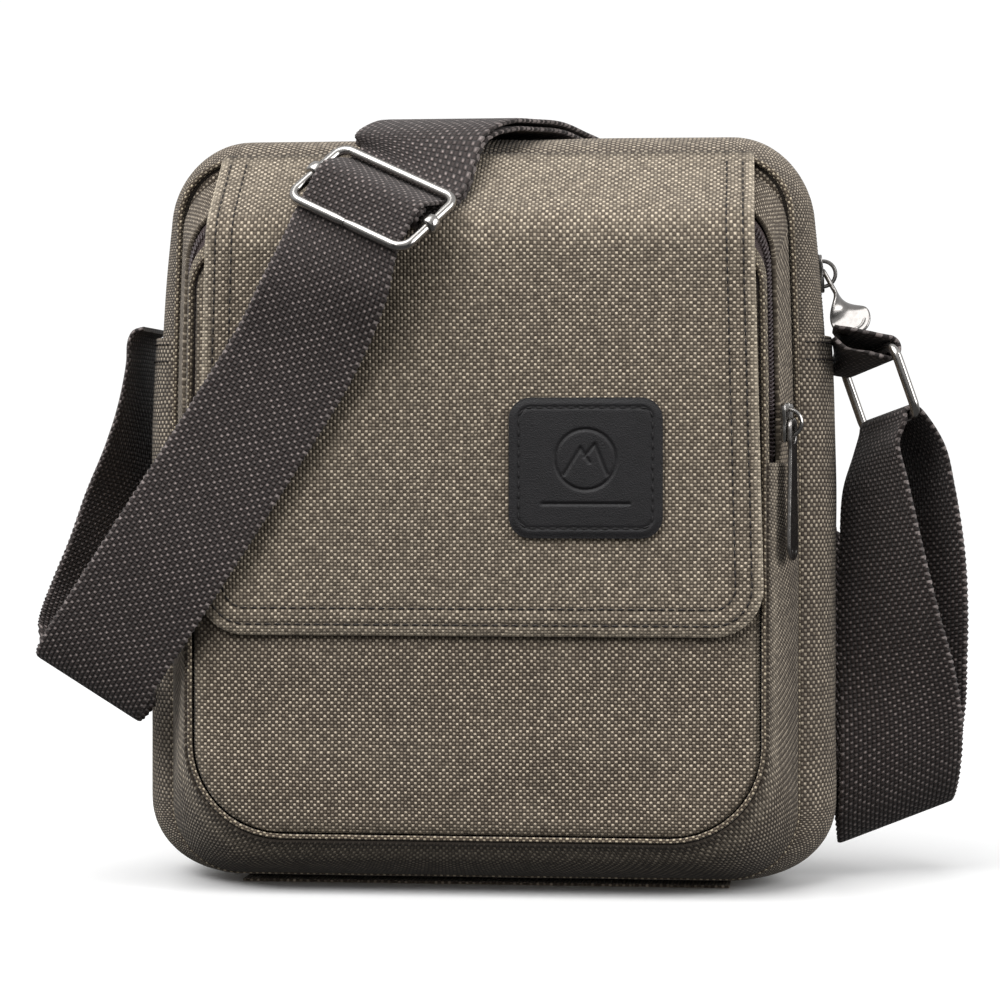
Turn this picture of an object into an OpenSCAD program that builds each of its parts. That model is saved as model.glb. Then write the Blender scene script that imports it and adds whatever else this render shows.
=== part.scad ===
// Small upright messenger bag: a soft canvas body with a flap, a zipped main
// compartment, a zipped front compartment, a zipped back pocket and a webbing
// shoulder strap on a wire slider and a square ring.
// X is to the bag's left-right, Y points to its back, Z is up. The origin is on
// the floor, below the middle of the bag.

/* [Body] */
// Width inside the main seam
body_w = 192; // [180:1:230]
// Height of the main seam above the bag's lowest point
body_h = 224; // [205:1:260]
// Depth of the main compartment, front seam to back seam
body_d = 55; // [45:1:70]
// How far each side swells out past the main seam
side_swell = 11; // [6:0.5:14]
// How far the top swells up past the main seam
top_swell = 8; // [4:0.5:10]
// Radius of the lower corners of the body
corner_low_r = 20; // [14:1:28]
// Radius of the upper corners of the body
corner_top_r = 18; // [14:1:26]
// Height of the side seams, where the zip bands meet the lower gusset
side_seam_z = 170; // [150:1:180]

/* [Front compartment] */
// Width inside the front compartment's seam
pocket_w = 166; // [150:1:176]
// Height of the bottom seam of the front compartment
pocket_z0 = 18; // [14:1:26]
// Height of the top seam of the front compartment
pocket_z1 = 197; // [190:1:202]
// Depth of the front compartment
pocket_d = 25; // [20:1:32]
// How far the front compartment's edge rolls out past its seam
pocket_roll = 3; // [1:0.5:4]
// Radius of the front compartment's corners
pocket_r = 28; // [20:1:34]
// Height of the ends of the front compartment's zip
pocket_zip_z = 131; // [110:1:150]

/* [Flap] */
// Width of the flap at its hinge
flap_top_w = 160; // [150:1:170]
// Width of the flap at its lower edge
flap_low_w = 169; // [155:1:176]
// Height of the flap's lower edge
flap_z0 = 79; // [60:1:110]
// Radius of the flap's lower corners
flap_r = 15; // [8:1:25]
// Range of the flap, from closed to standing open
flap_open_deg = 150; // [90:5:160]

/* [Cloth] */
// Thickness of the outer canvas
canvas_t = 1.6; // [1.2:0.1:2]
// Thickness of the lining cloth
lining_t = 0.6; // [0.4:0.1:1]
// Clearance between neighbouring layers
gap = 0.2; // [0.15:0.05:0.3]
// Thickness of the stiffener boards
board_t = 1.5; // [1:0.1:2.5]

/* [Strap] */
// Width of the webbing
webbing_w = 38; // [30:1:40]
// Thickness of the webbing
webbing_t = 1.5; // [1.2:0.1:1.8]
// Radius of the wire of the slider and the ring
wire_r = 1.5; // [1.2:0.1:1.8]
// Height of the slider's window, along the strap
slider_h = 23; // [20:1:26]
// Height of the ring's window
ring_h = 19; // [14:1:22]

/* [Zips] */
// Width of the zip chain
chain_w = 5.5; // [4:0.5:7]
// Width of the zip tape
tape_w = 13; // [10:1:16]
// Length of the pull on the main zip
main_pull_l = 23; // [16:1:26]
// Length of the pull on the front compartment's zip
pocket_pull_l = 40; // [25:1:44]
// Length of the back pocket's zip
back_zip_l = 140; // [100:5:150]
// Height of the back pocket's zip
back_zip_z = 178; // [150:1:185]

/* [Trim] */
// Width of the leather patch
patch_w = 46; // [35:1:55]
// Height of the leather patch
patch_h = 42; // [30:1:50]
// Diameter of the magnetic snap
snap_d = 18; // [14:1:20]

/* [Hidden] */
$fn = 64;

canvas = "#7d7161";
dark_cloth = "#4b4140";
webbing = "#3b3232";
metal = "#a7a5a3";
leather = "#2e2c2f";

// ---- the body's planes and seams -------------------------------------------
bottom_swell = 2;
base_t = 0.8;                      // thickness of the patch that the bag stands on
front_y = -body_d * 5 / 11;        // main front seam
back_y = front_y + body_d;         // back seam
pocket_y = front_y - pocket_d;     // front compartment's seam
side_taper = 3;                    // each side leans in this much towards the top
taper_z = 120;                     // where the lean starts
band_gap = 0.45;                   // between the lower gusset and the bands inside it
panel_in = canvas_t + band_gap + gap; // the panels lie inside the bands' edges
arch_power = 2.6;                  // the swelling's shape across the depth
// an outline: [width, lean, lowest z, highest z, low radius, top radius]
main_line = [body_w, side_taper, bottom_swell + canvas_t + base_t + gap, body_h, corner_low_r,
    corner_top_r];
panel_line = inset(main_line, panel_in);
pocket_line = [pocket_w, 1, pocket_z0, pocket_z1, pocket_r, pocket_r / 2];
hinge = [0, front_y - 1, body_h + 3];

function inset(o, by) = [o[0] - 2 * by, o[1], o[2] + by, o[3] - by, o[4] - by, o[5] - by];

// outline points are [x, z, normal x, normal z]
function lean_t(o, z) = max(0, (z - taper_z) / (o[3] - taper_z));
function side_x(o, z) = o[0] / 2 - o[1] * pow(lean_t(o, z), 2);
function side_a(o, z) = atan(2 * o[1] * lean_t(o, z) / (o[3] - taper_z));
function side_point(o, z) = let (a = side_a(o, z)) [side_x(o, z), z, cos(a), sin(a)];
function arc(c, r, a0, a1, n) = [for (i = [0:n]) let (a = a0 + (a1 - a0) * i / n)
    [c[0] + r * cos(a), c[1] + r * sin(a), cos(a), sin(a)]];
function mirrored(ps) = [for (i = [len(ps) - 1:-1:0]) let (p = ps[i]) [-p[0], p[1], -p[2], p[3]]];
function top_z(o) = o[3] - o[5];   // where the upper corner starts
function low_z(o) = o[2] + o[4];   // where the lower corner ends

// right half of the line below height z, from the bottom's middle upwards
function low_half(o, z, n = 8, m = 8) = concat(
    [for (i = [0:3]) [(o[0] / 2 - o[4]) * i / 4, o[2], 0, -1]],
    arc([o[0] / 2 - o[4], low_z(o)], o[4], -90, 0, n),
    [for (i = [1:m]) side_point(o, low_z(o) + (z - low_z(o)) * i / m)]);
// right half of the line above height z, up to the top's middle
function top_half(o, z, n = 8, m = 4) =
    let (zc = top_z(o), a = side_a(o, zc), x = side_x(o, zc), r = o[5])
    concat(
        [for (i = [0:m - 1]) side_point(o, z + (zc - z) * i / m)],
        arc([x - r * cos(a), o[3] - r], r, a, 90, n),
        [for (i = [1:4]) [(x - r * cos(a)) * (1 - i / 4), o[3], 0, 1]]);
// the lower part of the line, from the left side down and round to the right
function low_path(o, z, m = 8) = let (h = low_half(o, z, m = m))
    concat(mirrored(h), [for (i = [1:len(h) - 1]) h[i]]);
// the upper part of the line, from the right side up and over to the left
function top_path(o, z, m = 4) = let (h = top_half(o, z, m = m))
    concat(h, [for (i = [1:len(h) - 1]) mirrored(h)[i]]);
mid_z = 100;                       // where the whole outline's two halves meet
function whole_line(o) = let (top = top_path(o, mid_z))
    concat(low_path(o, mid_z), [for (i = [1:len(top) - 2]) top[i]]);

// ---- solids from rings of points --------------------------------------------
// the first half of a ring is one face of the cloth and the second half the other:
// their triangles are cut along the same diagonal, so twisted cloth keeps its thickness
function ring_faces(n, m) = concat(
    [for (i = [0:n - 2], j = [0:m - 1]) let (k = i + 1, l = (j + 1) % m)
        j < m / 2 ? [i * m + j, k * m + j, k * m + l] : [i * m + j, k * m + j, i * m + l]],
    [for (i = [0:n - 2], j = [0:m - 1]) let (k = i + 1, l = (j + 1) % m)
        j < m / 2 ? [i * m + j, k * m + l, i * m + l] : [k * m + j, k * m + l, i * m + l]],
    [[for (j = [0:m - 1]) j], [for (j = [m - 1:-1:0]) (n - 1) * m + j]]);
// rings run the right-hand way round the way they are swept
module skin(rings) {
    polyhedron([for (r = rings) each r], ring_faces(len(rings), len(rings[0])), convexity = 8);
}

// how far the gusset swells out at a point of the main seam
function swell(p) = p[2] * p[2] * (side_swell - 4 * pow(lean_t(main_line, p[1]), 2))
    + p[3] * p[3] * (p[3] > 0 ? top_swell : bottom_swell);
function arch(s) = 1 - pow(abs(2 * s - 1), arch_power);
// a strip of cloth of thickness t across the gusset from share s0 to share s1
// of its depth, lying off outwards from the seam line
function strip(p, s0, s1, off, t, n = 8) =
    let (h = swell(p), at = [for (i = [0:n]) s0 + (s1 - s0) * i / n])
    [for (q = concat([for (s = at) [s, h * arch(s) + off + t]],
                     [for (i = [n:-1:0]) [at[i], h * arch(at[i]) + off]]))
        [p[0] + p[2] * q[1], front_y + body_d * q[0], p[1] + p[3] * q[1]]];
module gusset_strip(path, s0, s1, off, t, n = 8) {
    skin([for (p = path) strip(p, s0, s1, off, t, n)]);
}
module plate(line, y, t) {
    translate([0, y + t, 0]) rotate([90, 0, 0])
        linear_extrude(t) polygon([for (p = whole_line(line)) [p[0], p[1]]]);
}

// ---- main compartment --------------------------------------------------------
band_lap = 7;                       // the zip bands run this far under the lower gusset
band_off = -canvas_t - band_gap;
tape_off = band_off - lining_t - gap;
chain_s = chain_w / body_d / 2;
band_s = 0.5 - chain_s - 0.4 / body_d;
tape_s = tape_w / body_d / 2;
module main_front_panel() { color(canvas) plate(panel_line, front_y, canvas_t); }
module main_back_panel() { color(canvas) plate(panel_line, back_y - canvas_t, canvas_t); }
module lower_gusset() { color(canvas) gusset_strip(low_path(main_line, side_seam_z), 0, 1, 0, canvas_t); }
base_inset = 4;                     // from the base's seams to the patch's edges
module base_patch() {
    wide = body_w - 2 * corner_low_r;
    deep = body_d - 2 * base_inset;
    color(canvas) translate([-wide / 2, front_y + base_inset, 0]) cube([wide, deep, base_t]);
}
module main_zip_band_front() {
    color(canvas) gusset_strip(top_path(main_line, side_seam_z - band_lap), 0, band_s, band_off, canvas_t, 5);
}
module main_zip_band_rear() {
    color(canvas) gusset_strip(top_path(main_line, side_seam_z - band_lap), 1 - band_s, 1, band_off, canvas_t, 5);
}
module main_zip_tape() {
    color(dark_cloth) gusset_strip(top_path(main_line, side_seam_z - band_lap),
        0.5 - tape_s, 0.5 + tape_s, tape_off, lining_t, 4);
}
chain_t = canvas_t + 0.2;
module main_zip_chain() {
    color(dark_cloth) gusset_strip(top_path(main_line, side_seam_z + 1),
        0.5 - chain_s, 0.5 + chain_s, band_off, chain_t, 2);
}
lining_line = inset(main_line, panel_in + canvas_t);
lining_y0 = front_y + canvas_t + gap;
lining_y1 = back_y - canvas_t - gap;
module lining_front() { color(dark_cloth) plate(lining_line, lining_y0, lining_t); }
module lining_back() { color(dark_cloth) plate(lining_line, lining_y1 - lining_t, lining_t); }
module lining_gusset() {
    edge = (canvas_t + lining_t + 2 * gap) / body_d;
    color(dark_cloth) gusset_strip(low_path(main_line, side_seam_z - band_lap - 2), edge, 1 - edge,
        -2.2, lining_t);
}
module base_board() {
    long = body_w - 2 * corner_low_r - 4;
    deep = lining_y1 - lining_y0 - 2 * lining_t - 6;
    color("#2b2b2b") translate([-long / 2, lining_y0 + lining_t + 3, main_line[2] + 3])
        cube([long, deep, board_t]);
}
module slip_pocket() {
    wide = 130;
    tall = 95;
    color(dark_cloth) translate([-wide / 2, lining_y1 - 2 * lining_t - gap - 0.2, 45])
        cube([wide, lining_t, tall]);
}

snap_at = [0, 96];                  // middle of the magnetic snap: x, z

// ---- front compartment -----------------------------------------------------------
// the compartment's wall runs from its own seam back to the main seam, and rolls
// outwards just behind its own seam
function roll(s) = s < roll_s ? sin(s / roll_s * 90) : cos((s - roll_s) / (1 - roll_s) * 90);
roll_s = 0.3;                       // where across the wall the roll is widest
function wall_ring(a, b, s0, s1, off, t, n) =
    let (at = [for (i = [0:n]) s0 + (s1 - s0) * i / n])
    [for (q = concat([for (s = at) [s, pocket_roll * roll(s) + off + t]],
                     [for (i = [n:-1:0]) [at[i], pocket_roll * roll(at[i]) + off]]))
        [a[0] + (b[0] - a[0]) * q[0] + a[2] * q[1], pocket_y + (pocket_d - gap - canvas_t / 2) * q[0],
         a[1] + (b[1] - a[1]) * q[0] + a[3] * q[1]]];
module wall_strip(a, b, s0, s1, off, t, n = 6) {
    skin([for (i = [0:len(a) - 1]) wall_ring(a[i], b[i], s0, s1, off, t, n)]);
}
wall_line = inset(main_line, 0.5);
zip_s = [0.22, 0.42];               // the chain's place across the wall
pocket_lap = 5;
module pocket_front_panel() {
    color(canvas) difference() {
        plate(inset(pocket_line, panel_in), pocket_y, canvas_t);
        translate([snap_at[0], pocket_y + 5, snap_at[1]]) rotate([90, 0, 0])
            cylinder(d = snap_d + 2 * gap, h = 10);
    }
}
module pocket_lower_gusset() {
    color(canvas) wall_strip(low_path(pocket_line, pocket_zip_z), low_path(wall_line, pocket_zip_z),
        0, 1, 0, canvas_t, 8);
}
module pocket_band(s0, s1, z = pocket_zip_z - pocket_lap, off = band_off, t = canvas_t) {
    wall_strip(top_path(pocket_line, z), top_path(pocket_back_line, z), s0, s1, off, t, 4);
}
pocket_back_line = [body_w - 1, side_taper, main_line[2], body_h - 4, corner_low_r, corner_top_r];
module pocket_zip_band_front() { color(canvas) pocket_band(0, zip_s[0] - 0.01); }
module pocket_zip_band_rear() { color(canvas) pocket_band(zip_s[1] + 0.01, 1); }
module pocket_zip_chain() {
    color(dark_cloth) pocket_band(zip_s[0], zip_s[1], pocket_zip_z + 1, band_off, chain_t);
}
module pocket_lining() {
    color(dark_cloth) plate(inset(pocket_line, panel_in + 4), pocket_y + canvas_t + gap, lining_t);
}

// ---- flap ------------------------------------------------------------------------
flap_gap = 0.4;                     // the closed flap stands this far off the pocket
flap_in_y = pocket_y - flap_gap;    // inner face of the hanging part
bend_r = 14;                        // the flap turns down over the pocket's top edge
module flap_side(off, t) {
    // side profile of a layer: hinge, slope, bend, hanging part
    inner = flap_profile(off);
    outer = flap_profile(off + t);
    polygon(concat(inner, [for (i = [len(outer) - 1:-1:0]) outer[i]]));
}
fold_z = pocket_z1 + 4;             // where the slope meets the hanging part's plane
slope_a = atan2(hinge[2] - fold_z, hinge[1] - flap_in_y);
// inner line of a layer that lies off outwards: y, z from the hinge to the lower edge
function flap_profile(off) =
    let (r = bend_r + off, c = [flap_in_y + bend_r, fold_z - bend_r * tan((90 - slope_a) / 2)])
    concat([[hinge[1] - off * sin(slope_a), hinge[2] + off * cos(slope_a)]],
        [for (i = [0:6]) let (g = 90 + slope_a + (90 - slope_a) * i / 6)
            [c[0] + r * cos(g), c[1] + r * sin(g)]],
        [[flap_in_y - off, flap_z0]]);
module flap_front(by = 0) {
    // front outline of the flap
    half_low = flap_low_w / 2 - by;
    half_top = flap_top_w / 2 - by;
    low = flap_z0 + by;
    r = flap_r - by;
    polygon(concat(
        [for (p = arc([half_low - r, low + r], r, -90, 0, 8)) [p[0], p[1]]],
        [[half_top, body_h + 20], [-half_top, body_h + 20]],
        [for (p = arc([-half_low + r, low + r], r, 180, 270, 8)) [p[0], p[1]]]));
}
module flap_layer(off, t, by = 0) {
    intersection() {
        rotate([90, 0, 90]) translate([0, 0, -flap_low_w]) linear_extrude(2 * flap_low_w) flap_side(off, t);
        translate([0, 20, 0]) rotate([90, 0, 0]) linear_extrude(140) flap_front(by);
    }
}
module flap_outer() { color(canvas) flap_layer(1.2, canvas_t); }
flap_lining_t = 1;
module flap_lining() {
    color(canvas) difference() {
        flap_layer(0, flap_lining_t, 1);
        translate([snap_at[0], flap_in_y + 5, snap_at[1]]) rotate([90, 0, 0])
            cylinder(d = snap_d + 2 * gap, h = 10);
    }
}
patch_at = [34, 129.5];
patch_t = 1.2;
flap_face_y = flap_in_y - 1.2 - canvas_t;   // outer face of the hanging part
module rounded(w, h, r, t) {
    linear_extrude(t) hull() for (x = [-1, 1], y = [-1, 1])
        translate([x * (w / 2 - r), y * (h / 2 - r)]) circle(r, $fn = 32);
}
module leather_patch() {
    color(leather) translate([patch_at[0], flap_face_y - gap, patch_at[1]]) rotate([90, 0, 0])
        rounded(patch_w, patch_h, 6.5, patch_t);
}
module snap_stud() {
    // set flush into the flap's lining
    color(metal) translate([snap_at[0], flap_in_y, snap_at[1]]) rotate([90, 0, 0])
        cylinder(d = snap_d, h = flap_lining_t);
}
module snap_socket() {
    // set flush into the front compartment's panel
    color(metal) translate([snap_at[0], pocket_y + canvas_t, snap_at[1]]) rotate([90, 0, 0])
        cylinder(d = snap_d, h = canvas_t);
}

// ---- zip sliders and pulls ---------------------------------------------------------
// a slider's own frame: x out of the chain, y across it, z along it
bail_r = 3.8;                       // middle radius of the bail
bail_wire = 0.7;
slider_l = 11;
slider_w = 8;
slider_t = 1.6;
bar_up = 0.95;                      // the pull's bar above the slider's plate
bar_down = 1;                       // and below the slider's middle
module zip_slider() {
    color(metal) union() {
        translate([0, -slider_w / 2, -slider_l / 2]) cube([slider_t, slider_w, slider_l]);
        translate([slider_t - 0.2, bail_wire, 0]) rotate([90, 0, 0])
            linear_extrude(2 * bail_wire) difference() {
                circle(bail_r + bail_wire);
                circle(bail_r - bail_wire);
                translate([-10, -10]) square([10, 20]);
            }
    }
}
// a pull hangs along -z from its bar on the y axis, face towards x
pull_t = 1.3;
pull_bar_r = 0.6;
eye_l = 6.4;                        // the opening that the bail passes through
eye_w = 4;
// the paddle below the eye may be turned about the pull's length
module zip_pull(l, top_w, low_w, turn = 0) {
    color(metal) difference() {
        union() {
            rotate([90, 0, 0]) translate([0, 0, -top_w / 2]) cylinder(r = pull_bar_r, h = top_w);
            translate([-pull_t / 2, -top_w / 2, -eye_l - 1]) cube([pull_t, top_w, eye_l + 1]);
            hull() {
                translate([-pull_t / 2, -top_w / 2, -eye_l - 1]) cube([pull_t, top_w, 1]);
                rotate([0, 0, turn]) translate([-pull_t / 2, 0, -(l - low_w / 2)])
                    rotate([0, 90, 0]) cylinder(r = low_w / 2, h = pull_t, $fn = 32);
            }
        }
        translate([-5, -eye_w / 2, -eye_l]) cube([10, eye_w, eye_l - pull_bar_r - 0.2]);
    }
}

// where the main slider rides: out on the right side's middle
main_slider_z = 190;
main_side = side_point(main_line, main_slider_z);
main_face = side_x(main_line, main_slider_z) + swell(main_side) + band_off + chain_t;
main_lean = atan(2 * side_taper * lean_t(main_line, main_slider_z) / (body_h - taper_z)) + 2.5;
module at_main_slider() {
    translate([main_face + 0.5, front_y + body_d / 2, main_slider_z]) rotate([0, -main_lean, 0]) children();
}
pull_bar = [slider_t + bar_up, 0, -bar_down];
main_pull_tilt = 34;                // the pull rests on the strap's tab
main_pull_twist = -58;              // with its paddle turned towards the front
module main_zip_slider() { at_main_slider() zip_slider(); }
module main_zip_pull() {
    at_main_slider() translate(pull_bar) rotate([0, -main_pull_tilt, 0])
        zip_pull(main_pull_l, 6.4, 12, main_pull_twist);
}

// the front compartment's slider: on the right side near the zip's lower end
pocket_slider_z = 143;
pocket_a = side_point(pocket_line, pocket_slider_z);
pocket_b = side_point(pocket_back_line, pocket_slider_z);
pocket_mid = (zip_s[0] + zip_s[1]) / 2;
wall_dx = pocket_b[0] - pocket_a[0];
pocket_depth = pocket_d - gap - canvas_t / 2;
wall_turn = atan2(-(wall_dx - pocket_roll * sin(pocket_mid * 90)), pocket_depth);
module at_pocket_slider() {
    translate([pocket_a[0] + wall_dx * pocket_mid + pocket_roll * roll(pocket_mid) + band_off + chain_t,
        pocket_y + pocket_depth * pocket_mid, pocket_slider_z])
        rotate([0, 0, wall_turn]) translate([0.6, 0, 0]) children();
}
module pocket_zip_slider() { at_pocket_slider() zip_slider(); }
module pocket_zip_pull() {
    at_pocket_slider() translate(pull_bar) zip_pull(pocket_pull_l, 6.4, 8);
}

// ---- back pocket ---------------------------------------------------------------------
back_tape_y = back_y + gap;
module back_zip_tape() {
    color(dark_cloth) translate([-back_zip_l / 2, back_tape_y, back_zip_z - tape_w / 2])
        cube([back_zip_l, lining_t, tape_w]);
}
module back_zip_chain() {
    color(dark_cloth) translate([-back_zip_l / 2 + 3, back_tape_y + lining_t + gap, back_zip_z - chain_w / 2])
        cube([back_zip_l - 6, 1, chain_w]);
}
back_slider_x = -back_zip_l / 2 + 16;
module at_back_slider() {
    translate([back_slider_x, back_tape_y + lining_t + gap + 1 + gap, back_zip_z])
        rotate([0, 0, 90]) rotate([-90, 0, 0]) children();
}
back_pull_l = 24;
module back_zip_slider() { at_back_slider() zip_slider(); }
module back_zip_pull() {
    at_back_slider() translate(pull_bar) zip_pull(back_pull_l, 6.4, 9);
}
module back_pocket_lining() {
    color(dark_cloth) translate([-back_zip_l / 2, lining_y1 - 3 * lining_t - 4 * gap - 2, back_zip_z - 120])
        cube([back_zip_l, lining_t, 112]);
}

// ---- shoulder strap --------------------------------------------------------------------
// the wire slider's own frame: x along its long bars, y up the strap, z off the flap
slider_at = [-30, -54, 210.5];
slope_turn = slope_a;               // the flap's slope from the horizontal
slider_turn = -33;
slider_win = webbing_w + 3;
module at_slider() { translate(slider_at) rotate([slope_turn, 0, 0]) rotate([0, 0, slider_turn]) children(); }
// the same frame as a function
function turn_z(p, a) = [p[0] * cos(a) - p[1] * sin(a), p[0] * sin(a) + p[1] * cos(a), p[2]];
function turn_x(p, a) = [p[0], p[1] * cos(a) - p[2] * sin(a), p[1] * sin(a) + p[2] * cos(a)];
function from_slider(p) = slider_at + turn_x(turn_z(p, slider_turn), slope_turn);
function slider_dir(p) = turn_x(turn_z(p, slider_turn), slope_turn);

module wire_loop(w, h, r, corner) {
    // a rectangle of round wire with round corners, w by h between wire middles
    for (i = [0:3]) rotate([0, 0, 90 * i]) {
        a = i % 2 == 0 ? w : h;
        b = i % 2 == 0 ? h : w;
        translate([0, -b / 2, 0]) rotate([0, 90, 0])
            translate([0, 0, -a / 2 + corner]) cylinder(r = r, h = a - 2 * corner);
        translate([a / 2 - corner, -b / 2 + corner, 0]) rotate([0, 0, -90])
            rotate_extrude(angle = 90) translate([corner, 0]) circle(r, $fn = 24);
    }
}
module slider_frame() {
    color(metal) at_slider() wire_loop(slider_win + 2 * wire_r, slider_h + 2 * wire_r, wire_r, 4);
}
bar_r = 1.25;
module slider_bar() {
    // the middle bar ends in eyes crimped round the frame's short sides
    half = slider_win / 2 + wire_r;
    color(metal) at_slider() difference() {
        union() {
            rotate([0, 90, 0]) translate([0, 0, -half]) cylinder(r = bar_r, h = 2 * half);
            for (x = [-half, half]) translate([x, 0, 0]) rotate([90, 0, 0])
                translate([0, 0, -1.8]) cylinder(r = wire_r + 1, h = 3.6);
        }
        for (x = [-half, half]) translate([x, 0, 0]) rotate([90, 0, 0])
            translate([0, 0, -4]) cylinder(r = wire_r + 0.03, h = 8);
    }
}

// the ring's frame: y along its bars, z up its legs, x off its face
ring_at = [118.2, -1, 164];        // middle of the bar held by the tab
ring_yaw = 20;
ring_roll = -7;
ring_lean = -18;
module at_ring() {
    translate(ring_at) rotate([0, 0, ring_yaw]) rotate([ring_roll, 0, 0]) rotate([0, ring_lean, 0]) children();
}
function turn_y(p, a) = [p[0] * cos(a) + p[2] * sin(a), p[1], -p[0] * sin(a) + p[2] * cos(a)];
function ring_dir(p) = turn_z(turn_x(turn_y(p, ring_lean), ring_roll), ring_yaw);
function from_ring(p) = ring_at + ring_dir(p);
ring_drop = ring_h + 2 * wire_r;    // between the two bars' middles
module strap_ring() {
    color(metal) at_ring() rotate([90, 0, 90]) translate([0, -ring_drop / 2, 0])
        wire_loop(slider_win + 2 * wire_r, ring_drop, wire_r, 4);
}

// a strip of webbing swept through points, each with the direction that its cut
// across runs in; a slanted cut is longer, so the strip keeps its width
function unit(v) = v / norm(v);
function web_ring(p, w, t) =
    let (u = unit(w), n = cross(t, u), v = unit(n), a = webbing_w / 2 / norm(n), b = webbing_t / 2,
         c = b * 0.6)
    [for (q = [[a, -b + c], [a, b - c], [a - c, b], [-a + c, b], [-a, b - c], [-a, -b + c],
               [-a + c, -b], [a - c, -b]]) p + u * q[0] + v * q[1]];
// from and to are the next points of the runs that this one joins on to
module web(ps, from = undef, to = undef) {
    at = [for (p = ps) p[0]];
    all = concat([is_undef(from) ? at[0] : from], at, [is_undef(to) ? at[len(at) - 1] : to]);
    color(webbing) skin([for (i = [0:len(ps) - 1])
        web_ring(ps[i][0], ps[i][1], unit(all[i + 2] - all[i]))]);
}

flat_w = [-0.85, 0, 0.53];          // width direction of the strap on the front
back_w = [-0.87, 0, -0.5];          // width direction of the strap on the back
low_w = [-0.93, 0, -0.37];          // width direction at the right-hand loop's bottom
slider_w_dir = slider_dir([-1, 0, 0]);
ring_w_dir = ring_dir([0, 1, 0]);
// from the left side seam down to the bottom of the left-hand loop
side_points = [
    [[-108, 0, 173], [0, -1, 0]], [[-111, 0, 172], [0, -1, 0]], [[-112.5, 0, 169], [0, -1, 0]],
    [[-113, 0, 162], [0, -1, 0]], [[-113.5, 0, 148], [-0.12, -1, 0.05]],
    [[-115, -2, 134], [-0.25, -0.97, 0.1]], [[-117.5, -6, 118], [-0.4, -0.9, 0.2]],
    [[-120, -12, 102], [-0.5, -0.85, 0.25]], [[-122, -18, 88], [-0.62, -0.7, 0.35]],
    [[-121.5, -26, 77], [-0.75, -0.4, 0.45]], [[-119.5, -33, 69], flat_w],
    [[-119.5, -37, 64], flat_w], [[-120, -41, 62], flat_w]];
// up across the flap and through the wire slider, over its middle bar
front_points = concat([
    [[-120, -41, 62], flat_w], [[-119, -46, 64], flat_w], [[-115, -50, 70], flat_w],
    [[-105, -54, 84], flat_w], [[-92, -57, 103], flat_w], [[-79.5, -57.5, 122], flat_w],
    [[-66, -57.5, 143], flat_w], [[-54, -58, 162], flat_w], [[-46.5, -60, 176], flat_w],
    [[-40.5, -61.5, 189], [-0.85, 0.2, 0.46]]],
    [for (q = [[-12.5, -2.6], [-7, 1.2], [0, 4.8], [7, 1.2], [12.5, -2.6]])
        [from_slider([0, q[0], q[1]]), slider_w_dir]]);
// midway between the two layers, from the slider over the top and down the back
// to the right-hand loop
over_points = concat([[from_slider([0, 19, -4]), slider_w_dir]],
    [for (p = [[-18, -34.2, 229.8], [-12, -24.2, 234.8], [-5.8, -13, 236], [1.5, 0, 236.5],
               [8, 13, 234.8], [14, 24.8, 232.4], [18.5, 31.8, 227.8], [23.5, 36.2, 220],
               [29, 37, 210]]) [p, [-1, 0, 0]]],
    [for (p = [[41, 37, 190], [63.5, 37, 150], [86.5, 37, 110], [107.5, 37, 74],
               [118.7, 35.6, 51.5]]) [p, back_w]]);
layer_off = 1.25;
// the same line set off by a distance on its own normal
function layer(ps, off) = [for (i = [0:len(ps) - 1])
    let (t = ps[min(i + 1, len(ps) - 1)][0] - ps[max(i - 1, 0)][0])
    [ps[i][0] + unit(cross(t, ps[i][1])) * off, ps[i][1]]];
outer_points = concat([[from_slider([0, 12.5, -2.6]), slider_w_dir]],
    layer(over_points, layer_off),
    [[[124.5, 33, 36], low_w], [[126.5, 27, 24], low_w], [[127, 20, 18], low_w]]);
// up from the loop's bottom to the ring, on the ring's inner side
ring_front_points = concat([
    [[127, 20, 18], low_w], [[127.5, 12, 18], low_w], [[128, 4.5, 24], low_w],
    [[128.6, -1, 35], [-0.93, 0.03, -0.37]], [[128.5, -4, 49], [-0.95, 0.12, -0.28]],
    [[127.2, -5, 64], [-0.9, 0.35, -0.2]], [[124.6, -5, 82], [-0.8, 0.58, -0.15]],
    [[122.4, -4, 102], [-0.66, 0.74, -0.12]], [[120.4, -2, 124], [-0.5, 0.86, -0.12]],
    [[120.8, -1, 135], ring_w_dir]],
    [for (q = [[-2.8, 0], [-2, 2], [0, 2.8]])
        [from_ring([q[0], 0, q[1] - ring_drop]), ring_w_dir]]);
// over the ring's lower bar and back down outside the first layer
ring_rear_points = concat(
    [for (q = [[0, 2.8], [2, 2], [2.8, 0]])
        [from_ring([q[0], 0, q[1] - ring_drop]), ring_w_dir]], [
    [[132.5, 5, 134], [-0.45, 0.88, -0.12]], [[134.5, 7.5, 122], [-0.52, 0.84, -0.1]],
    [[134.5, 8.5, 102], [-0.7, 0.7, -0.1]], [[133.4, 8, 82], [-0.8, 0.55, -0.15]],
    [[131, 6, 64], [-0.9, 0.35, -0.2]], [[129.4, 5, 49], [-0.93, 0.15, -0.32]],
    [[128.3, 6.2, 36.5], low_w], [[127.8, 9, 27], low_w], [[127.5, 13.5, 22], low_w],
    [[127.2, 19, 20.6], low_w]]);
// from round the slider's middle bar back under the outer layer to the ring
return_points = concat(
    [for (q = [[2.5, 2.1], [0, 2.5], [-2, 1.7], [-2.7, 0], [-2, -1.7], [0, -2.7], [5, -3.8],
               [12.5, -4.8]])
        [from_slider([0, q[0], q[1]]), slider_w_dir]],
    layer(over_points, -layer_off),
    [[[123.6, 30.2, 37], low_w], [[126.3, 25, 25.5], low_w], [[127.2, 19, 20.6], low_w]]);
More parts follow.
